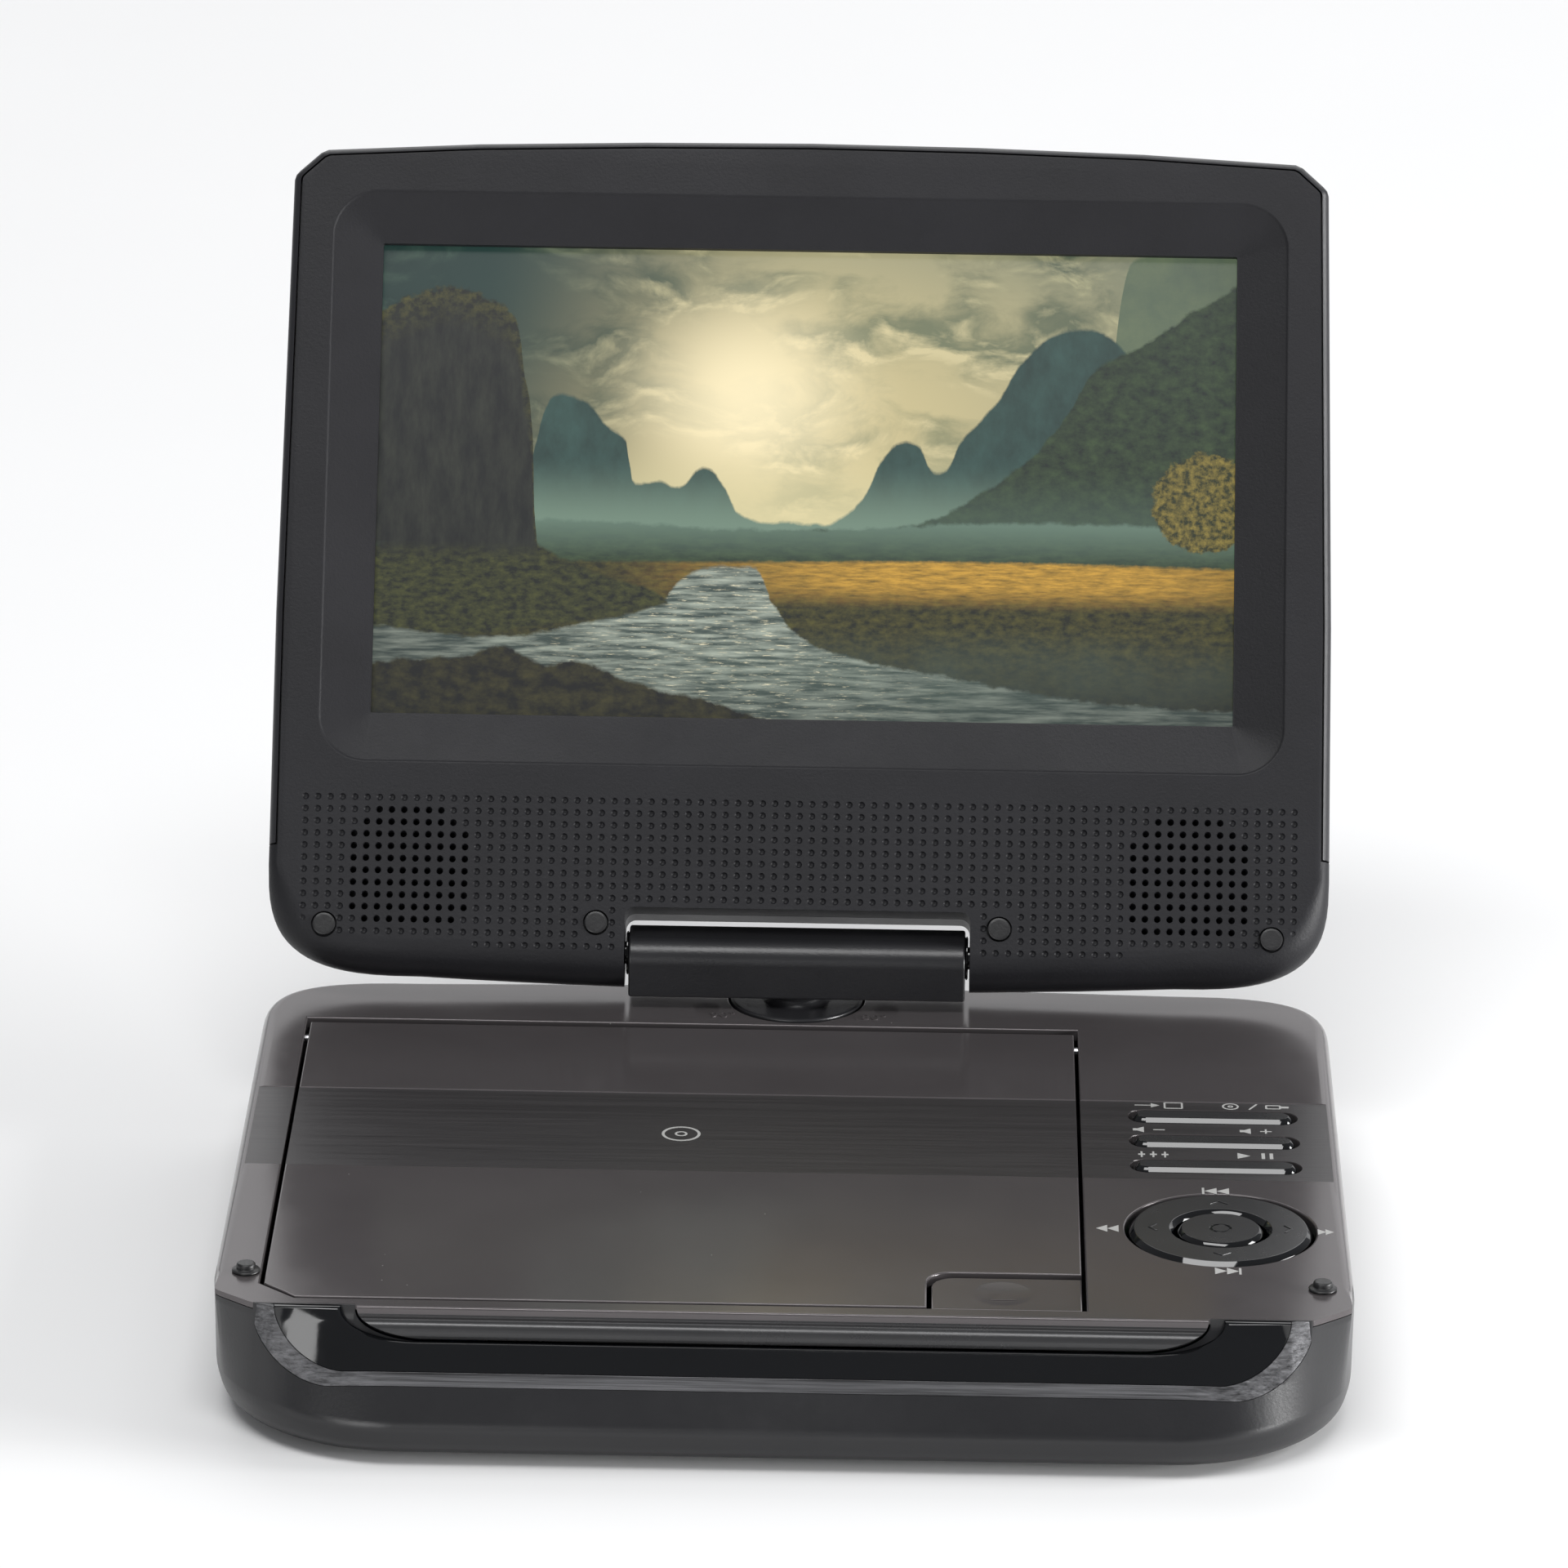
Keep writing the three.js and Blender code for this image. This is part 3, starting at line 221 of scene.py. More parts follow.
def brushed(name, colour, roughness=0.34, along=0, metallic=0.9, depth=0.00004, spread=0.25, fine=5200.0):
    """Metal brushed along one axis: streaks hundreds of times longer than they are wide."""
    n = Nodes(name)
    scale = [1.0, 1.0, 1.0]
    scale[along] = 0.012
    streak = n.noise(n.scaled(n.position(), scale), fine, 4.0, 0.7)
    broad = n.noise(n.scaled(n.position(), scale), 900.0, 3.0, 0.6)
    both = n.plus(n.times(streak, 0.6), n.times(broad, 0.4))
    low = tuple(c * (1 - spread) for c in colour)
    high = tuple(min(1, c * (1 + spread)) for c in colour)
    return n.finish(
        Base_Color=n.mix(n.remap(both, 0.35, 0.65), low, high), Metallic=metallic,
        Roughness=n.remap(both, 0.3, 0.7, roughness - 0.08, roughness + 0.12), Normal=n.bump(both, depth),
    )


# ---------------------------------------------------------------- outlines, in millimetres
def lerp(a, b, t):
    return a + (b - a) * t


def smooth(x, a, b):
    t = min(1.0, max(0.0, (x - a) / (b - a)))
    return t * t * (3 - 2 * t)


def inset(points, distance):
    """An anticlockwise outline with every point moved inwards by a number, or by a function of the point."""
    n = len(points)
    moved = []
    for i, p in enumerate(points):
        before = (Vector(p) - Vector(points[i - 1])).normalized()
        after = (Vector(points[(i + 1) % n]) - Vector(p)).normalized()
        bisector = (before + after).normalized()
        d = (distance(p) if callable(distance) else distance) / max(0.5, bisector.dot(before))
        moved.append((p[0] - bisector.y * d, p[1] + bisector.x * d))
    return moved


def mirrored(half):
    return half + [(-x, y) for x, y in reversed(half) if x > 1e-6]


def arc(cx, cy, r, start, turn, steps):
    angles = [math.radians(start + turn * i / steps) for i in range(steps + 1)]
    return [(cx + r * math.cos(a), cy + r * math.sin(a)) for a in angles]


def quarter(steps):
    """Point by point round a quarter circle, its shares (1 - sine, 1 - cosine), for rounding an edge."""
    angles = [math.pi / 2 * i / steps for i in range(steps + 1)]
    return [(1 - math.sin(a), 1 - math.cos(a)) for a in angles]


def rounded_rect(x0, x1, y0, y1, r, steps=8):
    corners = ((x1 - r, y0 + r, -90), (x1 - r, y1 - r, 0), (x0 + r, y1 - r, 90), (x0 + r, y0 + r, 180))
    return [point for cx, cy, start in corners for point in arc(cx, cy, r, start, 90, steps)]


def circle(x, y, r, sides=48, start=0.0):
    return [
        (x + r * math.cos(start + math.tau * i / sides), y + r * math.sin(start + math.tau * i / sides))
        for i in range(sides)
    ]


def stadium(cx, cy, length, width, grow=0.0, steps=8):
    r = width / 2 + grow - 0.01
    half = length / 2 + grow
    return rounded_rect(cx - half, cx + half, cy - r - 0.01, cy + r + 0.01, r, steps)


def hinge_edge(bow_out, steps=18):
    """The curved edge by the hinge, from the middle outwards: a shallow bow and a superellipse corner."""
    sag, bow_half, corner_in = 1.55, 67.0, 14.0
    points = [(bow_half * k / 8, bow_out - sag * (k / 8) ** 2) for k in range(8)]
    rx, ry = HALF_W - bow_half, bow_out - sag + corner_in
    for i in range(steps + 1):
        a = math.pi / 2 * i / steps
        across, down = math.sin(a) ** (2 / 3), max(0, math.cos(a)) ** (2 / 3)
        points.append((bow_half + rx * across, ry * down - corner_in))
    return points


def rear_edge():
    return [(x, SWIVEL_Y + out) for x, out in reversed(hinge_edge(7.85))]


def along(stops, t):
    """The point a share t of the way along a line through stops."""
    lengths = [math.dist(a, b) for a, b in zip(stops, stops[1:])]
    left = t * sum(lengths)
    for (a, b), length in zip(zip(stops, stops[1:]), lengths):
        if left <= length + 1e-9:
            return tuple(lerp(p, q, left / length) for p, q in zip(a, b))
        left -= length
    return stops[-1]


def base_outline(z, steps=32):
    """The base seen from above at height z: cut corners at the top, wide round ones from the crease down."""
    up = min(1.0, max(0.0, (z - CREASE_Z) / (TOP - CREASE_Z)))
    r = 31.0
    stops = [(HALF_W, -70), (93.6, -79.2), (87.2, -84.5), (83.3, SLOPE_TOP_Y), (64, SLOPE_TOP_Y)]
    half = []
    for i in reversed(range(steps + 1)):
        a = math.pi / 2 * i / steps
        low = (HALF_W - r * (1 - math.cos(a)), SLOPE_LOW_Y + r * (1 - math.sin(a)))
        high = along(stops, i / steps)
        half.append((lerp(low[0], high[0], up), lerp(low[1], high[1], up)))
    return mirrored([(0, half[0][1])] + half + [(HALF_W, -30), (HALF_W, 10)] + rear_edge())


def plate_outline(grow=0.0):
    half = [(0, PLATE_FRONT), (87.2, PLATE_FRONT), (93.6, -79.2), (HALF_W, -72)] + rear_edge()
    return inset(mirrored(half), -grow)


def lid_outline():
    half = [(x, -out) for x, out in hinge_edge(6.3)]
    top = [(60, 147.3), (30, 148.1), (0, 148.4)]
    corner = [(HALF_W, 60), (93.4, 140.0), (93.1, 141.0), (92.4, 141.8), (88.7, 145.2), (87.4, 145.8)]
    return mirrored(half + corner + top)


# ---------------------------------------------------------------- solids, in millimetres
def raw(vertices, faces):
    mesh = bpy.data.meshes.new("raw")
    mesh.from_pydata([tuple(v) for v in vertices], [], faces)
    obj = bpy.data.objects.new("raw", mesh)
    bpy.context.scene.collection.objects.link(obj)
    return obj


def loft(rings):
    """A closed solid through rings of as many (x, y, z) points each, lowest first and anticlockwise."""
    n = len(rings[0])
    faces = [tuple(reversed(range(n))), tuple(range((len(rings) - 1) * n, len(rings) * n))]
    for k in range(len(rings) - 1):
        for i in range(n):
            j = (i + 1) % n
            faces.append((k * n + i, k * n + j, (k + 1) * n + j, (k + 1) * n + i))
    return raw([p for ring in rings for p in ring], faces)


def at_height(points, z):
    return [(x, y, z) for x, y in points]


def prism(points, z0, z1):
    return loft([at_height(points, z0), at_height(points, z1)])


def pillow(points, z0, z1, top=0.3, low=0.0, steps=3):
    """A prism whose upper and lower edges are rounded by top and low."""
    rings = []
    for r, z, face in ((low, z0, -1), (top, z1, 1)):
        shares = quarter(steps) if r else quarter(steps)[-1:]
        rings += [
            at_height(inset(points, r * sine), z - face * r * cosine) for sine, cosine in shares[::-face]
        ]
    return loft(rings)


def raised(base, *points):
    """A profile whose heights are measured from base."""
    return [(r, base + up) for r, up in points]


def block(x0, x1, y0, y1, z0, z1):
    return prism([(x0, y0), (x1, y0), (x1, y1), (x0, y1)], z0, z1)


def turned(profile, x, y, sides=48):
    """A solid turned about the upright axis at (x, y): its (radius, z) pairs start and end on the axis."""
    low, high = profile[0], profile[-1]
    inner = [p for p in profile if p[0] > 1e-6]
    vertices = [(x, y, low[1])]
    for r, z in inner:
        vertices += [(px, py, z) for px, py in circle(x, y, r, sides)]
    vertices.append((x, y, high[1]))
    faces = []
    for i in range(sides):
        j = (i + 1) % sides
        faces.append((0, 1 + j, 1 + i))
        for k in range(len(inner) - 1):
            a, b = 1 + k * sides, 1 + (k + 1) * sides
            faces.append((a + i, a + j, b + j, b + i))
        last = 1 + (len(inner) - 1) * sides
        faces.append((last + i, last + j, len(vertices) - 1))
    return raw(vertices, faces)


def ring_solid(profile, x, y, sides=64):
    """A ring turned about (x, y) from a closed profile of (radius, z) pairs that runs anticlockwise."""
    vertices = []
    for r, z in profile:
        vertices += [(px, py, z) for px, py in circle(x, y, r, sides)]
    faces = []
    for k in range(len(profile)):
        a, b = k * sides, (k + 1) % len(profile) * sides
        for i in range(sides):
            j = (i + 1) % sides
            faces.append((a + i, a + j, b + j, b + i))
    return raw(vertices, faces)


def lay_along_x(solid, y=0.0, z=0.0):
    """Lays a standing solid down along x: its x and y become y and z, measured from the given place."""
    turn = Matrix(((0, 0, 1, 0), (1, 0, 0, 0), (0, 1, 0, 0), (0, 0, 0, 1)))
    solid.data.transform(Matrix.Translation((0, y, z)) @ turn)
    return solid


def spun(solid, x, y, degrees):
    """Turns a solid about the upright axis and moves it to (x, y)."""
    solid.data.transform(Matrix.Translation((x, y, 0)) @ Matrix.Rotation(math.radians(degrees), 4, "Z"))
    return solid


def crossed(slot, x, y, degrees):
    """A slot cutter and a second one square to it, both at (x, y) and turned by degrees."""
    other = raw([], [])
    other.data = slot.data.copy()
    return spun(slot, x, y, degrees), spun(other, x, y, degrees + 90)


def rod(r, axis, at, a, b, sides=40, chamfer=0.0):
    """A round bar along axis "x", "y" or "z" from a to b; at is its other two coordinates."""
    c = chamfer
    ends = [(r - c, a), (r, a + c), (r, b - c), (r - c, b)] if c else [(r, a), (r, b)]
    solid = turned([(0, a), *ends, (0, b)], 0, 0, sides)
    if axis == "x":
        return lay_along_x(solid, *at)
    if axis == "y":
        solid.data.transform(Matrix(((0, 1, 0, at[0]), (0, 0, 1, 0), (1, 0, 0, at[1]), (0, 0, 0, 1))))
        return solid
    return spun(solid, *at, 0)


def combine(operation, target, *tools):
    """target with the tools cut away (DIFFERENCE), joined on (UNION) or kept in common (INTERSECT)."""
    for tool in tools:
        modifier = target.modifiers.new("cut", "BOOLEAN")
        modifier.operation = operation
        modifier.solver = "MANIFOLD"
        modifier.object = tool
        done = bpy.data.meshes.new_from_object(target.evaluated_get(bpy.context.evaluated_depsgraph_get()))
        if not len(done.polygons):
            raise RuntimeError(f"{operation} left nothing")
        target.modifiers.clear()
        target.data = done
        bpy.data.objects.remove(tool)
    return target


def cut(target, *tools):
    return combine("DIFFERENCE", target, *tools)


def join(target, *tools):
    return combine("UNION", target, *tools)


def keep(target, *tools):
    return combine("INTERSECT", target, *tools)


def gather(objects):
    """Several meshes as one object."""
    mesh = bmesh.new()
    for obj in objects:
        mesh.from_mesh(obj.data)
        bpy.data.objects.remove(obj)
    first = raw([], [])
    mesh.to_mesh(first.data)
    mesh.free()
    return first


def copies(obj, places):
    """One object holding a copy of obj's mesh at each (x, y, z)."""
    mesh = bmesh.new()
    for place in places:
        mesh.from_mesh(obj.data)
        new = mesh.verts[-len(obj.data.vertices) :]
        bmesh.ops.translate(mesh, verts=new, vec=place)
        mesh.verts.ensure_lookup_table()
    bpy.data.objects.remove(obj)
    first = raw([], [])
    mesh.to_mesh(first.data)
    mesh.free()
    return first


def piece(obj, name, body, material, place=BASE, edge=0.0, replaces=(), smooth_angle=38, steps=2):
    """Finishes a solid: rounds its edges, moves it into the frame, shades it and rides it on its body."""
    mesh = bmesh.new()
    mesh.from_mesh(obj.data)
    bmesh.ops.remove_doubles(mesh, verts=mesh.verts, dist=1e-4)
    bmesh.ops.dissolve_limit(
        mesh, angle_limit=math.radians(0.4), use_dissolve_boundaries=False, verts=mesh.verts,
        edges=mesh.edges, delimit={"NORMAL"},
    )
    if edge:
        sharp = [e for e in mesh.edges if e.is_manifold and e.calc_face_angle(0) > math.radians(35)]
        bmesh.ops.bevel(
            mesh, geom=sharp, offset=edge, offset_type="OFFSET", segments=steps, profile=0.5, affect="EDGES",
            clamp_overlap=False,
        )
    mesh.to_mesh(obj.data)
    mesh.free()
    obj.data.transform(place)
    for polygon in obj.data.polygons:
        polygon.use_smooth = True
    obj.data.set_sharp_from_angle(angle=math.radians(smooth_angle))
    obj.name = obj.data.name = name
    obj.data.materials.clear()
    obj.data.materials.append(material)
    weighted = obj.modifiers.new("normals", "WEIGHTED_NORMAL")
    weighted.keep_sharp = True
    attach(obj, body)
    if replaces:
        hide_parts(*replaces)
    return obj


# ---------------------------------------------------------------- materials
PLATE = satin("plate_satin", rgb("595556"), 0.18, 2600.0, 0.000003, metallic=0.45, spread=0.05, dust=0.5)
BAND_METAL = brushed("plate_brushed", rgb("3a3839"), 0.34, metallic=0.4, depth=0.00003, spread=0.2)
STRIP = brushed("strip_brushed", rgb("565658"), 0.38, metallic=0.6, depth=0.00006, spread=0.75, fine=2600.0)
SHELL = satin("shell_satin", rgb("1c1c1e"), 0.32, 1500.0, 0.00002, spread=0.08)
BEZEL = satin("bezel_textured", rgb("19191c"), 0.52, 1900.0, 0.00006, spread=0.16, ior=1.36)
LID_SKIN = satin("lid_satin", rgb("1f1f22"), 0.42, 1900.0, 0.00003, spread=0.1)
HINGE = satin("hinge_satin", rgb("1f1f21"), 0.32, 2200.0, 0.00003, spread=0.1)
GLOSS = satin("gloss_black", rgb("08090b"), 0.05, 300.0, 0.000003, spread=0.1, ior=1.6)
KEYS = satin("key_satin", rgb("363637"), 0.26, 2600.0, 0.00001, metallic=0.3, spread=0.05)
RUBBER = satin("rubber_black", rgb("19191a"), 0.4, 1300.0, 0.00005, spread=0.2)
INNER = satin("inner_moulded", rgb("1c1c1e"), 0.45, 1500.0, 0.00004, spread=0.12)
PAPER = satin("speaker_paper", rgb("19191b"), 0.8, 700.0, 0.0001, spread=0.3)
FILM = satin("battery_film", rgb("2f4f80"), 0.3, 180.0, 0.00006, spread=0.1)
PRINT = satin("printed_grey", rgb("a4a4a2"), 0.5, 1500.0, 0.00001, spread=0.08)
STEEL = brushed("steel_brushed", rgb("a8a8aa"), 0.28, along=1, metallic=1.0, depth=0.00002, spread=0.12)
BRASS = brushed("brass_turned", rgb("b08d4c"), 0.3, along=1, metallic=1.0, depth=0.00002, spread=0.12)


def circuit():
    """Green solder mask over copper tracks that run either way from patch to patch, and solder dots."""
    n = Nodes("circuit_board")
    patch = n.node("VectorMath", operation="SNAP")
    n.put(n.position(), patch.inputs[0])
    patch.inputs[1].default_value = (0.009, 0.006, 0.05)
    chance = n.node("TexWhiteNoise")
    n.put(patch.outputs[0], chance.inputs["Vector"])
    x, y, _ = n.split(n.position())
    lines = [n.math("LESS_THAN", n.math("FRACT", n.times(axis, 900.0)), 0.4) for axis in (x, y)]
    across = n.math("GREATER_THAN", chance.outputs["Value"], 0.5)
    track = n.node("Mix", data_type="FLOAT")
    for value, socket in zip((across, *lines), track.inputs[:1] + track.inputs[2:4]):
        n.put(value, socket)
    mask = n.mix(track.outputs[0], rgb("10402a"), rgb("1d6640"))
    dot = n.remap(n.cells(320.0)["Distance"], 0.16, 0.2, 1.0, 0.0)
    return n.finish(
        Base_Color=n.mix(dot, mask, rgb("b5b6b4")), Metallic=dot, Roughness=n.remap(dot, 0, 1, 0.32, 0.22),
        Normal=n.bump(n.plus(track.outputs[0], dot), 0.00004),
    )


def coated_lens():
    """Dark glass whose coating turns from blue to violet towards the edge."""
    n = Nodes("coated_lens")
    facing = n.node("LayerWeight").outputs["Facing"]
    haze = n.noise(n.position(), 900.0, 3.0)
    tone = n.mix(facing, rgb("16306a"), rgb("5a2c72"))
    tone = n.mix(n.remap(haze, 0.3, 0.7, 0.0, 0.2), tone, rgb("0a1026"))
    return n.finish(Base_Color=tone, Roughness=0.05, IOR=1.8)


BOARD = circuit()
LENS = coated_lens()

# ---------------------------------------------------------------- studio
def studio():
    scene = bpy.context.scene
    scene.view_settings.view_transform = "Standard"
    world = bpy.data.worlds.new("studio")
    world.use_nodes = True
    world.node_tree.nodes["Background"].inputs["Color"].default_value = (0.93, 0.95, 1.0, 1)
    world.node_tree.nodes["Background"].inputs["Strength"].default_value = 0.22
    scene.world = world

    floor_mesh = bmesh.new()
    bmesh.ops.create_grid(floor_mesh, x_segments=40, y_segments=40, size=2000)
    floor = raw([], [])
    floor_mesh.to_mesh(floor.data)
    floor_mesh.free()
    floor.data.transform(Matrix.Scale(MM, 4))
    floor.name = "floor"
    n = Nodes("floor_paper")
    mottle = n.noise(n.position(), 9.0, 3.0)
    paper = n.mix(mottle, (0.84, 0.84, 0.84), (0.86, 0.86, 0.86))
    floor.data.materials.append(n.finish(Base_Color=paper, Roughness=0.85))

    def softbox(at, aim, size, watts, turn=0.0):
        light = bpy.data.lights.new("softbox", "AREA")
        light.shape, (light.size, light.size_y), light.energy = "RECTANGLE", size, watts
        obj = bpy.data.objects.new("softbox", light)
        obj.location = at
        aimed = (Vector(aim) - Vector(at)).to_track_quat("-Z", "Y").to_matrix().to_4x4()
        obj.rotation_euler = (aimed @ Matrix.Rotation(math.radians(turn), 4, "Z")).to_euler()
        scene.collection.objects.link(obj)

    softbox((0.1, 1.25, 1.2), (0, 0, 0), (1.8, 0.9), 11)
    softbox((0, 2.0, 0.6), (0, 0, 0.05), (3.0, 0.9), 7)
    softbox((-0.2, -0.52, 1.5), (-0.05, -0.05, 0.03), (1.23, 0.5), 14)
    softbox((1.5, 0.1, 0.72), (0.05, -0.05, 0.02), (0.5, 0.5), 12)
    softbox((-0.54, -1.24, 0.26), (-0.08, -0.11, 0.02), (0.66, 0.4), 3.6, 22)
    softbox((1.1, -0.4, 0.14), (0.08, -0.11, 0.02), (0.36, 0.27), 15)

    az, el, roll = (math.radians(a) for a in (0.75, 19.49, 0.71))
    back = Vector((math.sin(az) * math.cos(el), -math.cos(az) * math.cos(el), math.sin(el)))
    right = Vector((math.cos(az), math.sin(az), 0))
    up = back.cross(right)
    side = right * math.cos(roll) + up * math.sin(roll)
    head = up * math.cos(roll) - right * math.sin(roll)
    camera = bpy.data.objects.new("camera", bpy.data.cameras.new("camera"))
    aim, distance = Vector((-1.95, 0, 61.8 + TOP)), 1.607
    at = aim * MM + Vector((0, ZERO_Y, 0)) + back * distance
    camera.matrix_world = Matrix.Translation(at) @ Matrix((side, head, back)).transposed().to_4x4()
    camera.data.lens = 216.75
    camera.data.sensor_width = 36.0
    camera.data.clip_end = 20
    scene.collection.objects.link(camera)
    scene.camera = camera


studio()


# ---------------------------------------------------------------- shared shapes
def flared(points, z0, top, r=0.3, steps=4):
    """A cutter with the outline points up to top, where it opens out to leave a rim rounded by r."""
    rings = [at_height(points, z0)]
    rings += [at_height(inset(points, -r * cosine), top - r * sine) for sine, cosine in quarter(steps)]
    rings.append(at_height(inset(points, -r), top + 3))
    return loft(rings)


def bar(profile, x0, x1):
    """A solid along x from x0 to x1: its profile is (y, z) points, anticlockwise seen from +x."""
    return lay_along_x(prism(profile, x0, x1))


def band_step(solid):
    """Sinks the brushed band across the plate a little, with sloped edges that catch the light."""
    y1, y0 = BAND
    low = TOP - BAND_SINK
    section = [(y0 + 0.1, low), (y1 - 0.1, low), (y1 + 0.12, TOP + 0.03), (y0 - 0.12, TOP + 0.03)]
    return cut(solid, bar(section, -FAR, FAR))


def brush_band(obj):
    """Gives the sunken band the brushed finish."""
    obj.data.materials.append(BAND_METAL)
    for polygon in obj.data.polygons:
        middle = polygon.center
        if polygon.normal.z > 0.95 and abs(middle.z / MM - TOP + BAND_SINK) < 0.02:
            polygon.material_index = 1


LEAN = 1.5  # how far the sides draw in from the crease down to the foot
LOW_EDGE, TOP_EDGE = 3, 2.5  # radii of the case's lower and upper edges


def crease(reach, steps):
    """Rings that round the crease off, from reach under it to reach above it."""
    low = at_height(inset(base_outline(FOOT), LEAN * reach / (CREASE_Z - FOOT)), CREASE_Z - reach)
    corner = at_height(base_outline(CREASE_Z), CREASE_Z)
    high = at_height(base_outline(CREASE_Z + reach), CREASE_Z + reach)
    rings = []
    for i in range(steps + 1):
        t = i / steps
        weights = ((1 - t) ** 2, 2 * t * (1 - t), t**2)
        ring = []
        for three in zip(low, corner, high):
            ring.append(tuple(sum(w * c for w, c in zip(weights, parts)) for parts in zip(*three)))
        rings.append(ring)
    return rings


def base_body(wall=0.0):
    """The outer skin of the whole base, shrunk by wall for the space inside it."""
    rings = []
    steps = 1 if wall else 6
    for sine, cosine in quarter(steps):
        z = FOOT + wall + LOW_EDGE * cosine
        lean = LEAN * (CREASE_Z - z) / (CREASE_Z - FOOT)
        rings.append(at_height(inset(base_outline(FOOT), wall + lean + LOW_EDGE * sine), z))
    if wall:
        rings.append(at_height(inset(base_outline(CREASE_Z), wall), FOOT + wall + 3.1))
    else:
        rings += crease(1.3, 6)
    rings.append(at_height(inset(base_outline(TOP - 10), wall), TOP - 10))
    for sine, cosine in quarter(steps):
        z = TOP - TOP_EDGE * sine
        outline = inset(base_outline(z), lambda p: wall + TOP_EDGE * cosine * smooth(p[1], -79, -66))
        rings.append(at_height(outline, z))
    if wall:
        rings.append([(x, y, TOP + 1) for x, y, _ in rings[-1]])
    return loft(rings)


SLOPE = math.atan2(TOP - CREASE_Z, SLOPE_TOP_Y - SLOPE_LOW_Y)
ON_SLOPE = Matrix.Translation((0, SLOPE_TOP_Y, TOP)) @ Matrix.Rotation(SLOPE, 4, "X")


def half_stadium(form, grow=0.0, up=6.0, steps=20):
    """An outline on the sloping front: straight along the top, with lower corners that are elliptical at
    a bend of 1 and flatter above it. The form: half the width, the depth, the corners' width and bend."""
    half_w, depth, corner_w, bend = form
    half = [(0, -depth - grow)]
    for i in range(steps + 1):
        a = math.pi / 2 * i / steps
        across, down = math.sin(a) ** bend, max(0.0, math.cos(a)) ** bend
        half.append((half_w + grow - corner_w * (1 - across), -(depth + grow) * down))
    half += [(half_w + grow, up), (0, up)]
    return mirrored(half)


def slope_panel(form, grow=0.0, out0=-14.0, out1=8.0, up=6.0):
    """A solid with that outline, standing on the sloping front from out0 to out1."""
    panel = prism(half_stadium(form, grow, up), out0, out1)
    panel.data.transform(ON_SLOPE)
    return panel


STRIP_AT = (87.3, 12.9, 13.0, 1.18)
GLOSS_AT = (83.3, 10.4, 11.5, 1.18)
NOSE = (69.8, 4.9, 12.0, 1.0)


def skin_of(panel, thickness):
    """The part of a slope panel in front of the top plate, no deeper than thickness under the skin."""
    return cut(panel, base_body(thickness), prism(plate_outline(GAP), SPLIT_Z - GAP, TOP + 9))


def in_front_of_plate():
    return block(-HALF_W, HALF_W, -110, PLATE_FRONT - GAP, TOP - 16, TOP)


def lip():
    """The rolled lip of the top plate under the lid's free edge: a short drop, then a bead."""
    front = PLATE_FRONT
    profile = [(front + 1, TOP - 2), (front + 1, TOP)]
    profile += [(front - 0.7 + y, TOP - 0.4 + z) for y, z in arc(0, 0, 0.4, 90, 90, 6)]
    profile += raised(TOP, (front - 1.15, -1.2), (front - 1.28, -1.45), (front - 1.55, -1.56))
    profile += [(front - 1.95 + y, TOP - 3.45 + z) for y, z in arc(0, 0, 1.9, 90, 130, 20)]
    profile += [(front - 1.2, TOP - 5.4)]
    return keep(bar(profile[::-1], -NOSE[0], NOSE[0]), slope_panel(NOSE, up=12))


def cover_opening(grow):
    c = COVER
    return [
        (c["cut"][0], c["y0"] - grow), (c["x1"] + grow, c["y0"] - grow), (c["x1"] + grow, c["y1"] + 1.8),
        (c["x0"] - grow, c["y1"] + 1.8), (c["x0"] - grow, c["cut"][1]),
    ]


# ---------------------------------------------------------------- base
def above_split(gap):
    """The space over the parting line of the case, which sweeps up to the plate's edge towards the front."""
    line = [(lerp(-44, -70, i / 12), lerp(SPLIT_Z, TOP - 1, smooth(i / 12, 0, 1)) - gap) for i in range(13)]
    ends = [(-110, line[-1][1]), (-110, TOP + 9), (FAR, TOP + 9), (FAR, line[0][1])]
    return bar((line + ends)[::-1], -FAR, FAR)


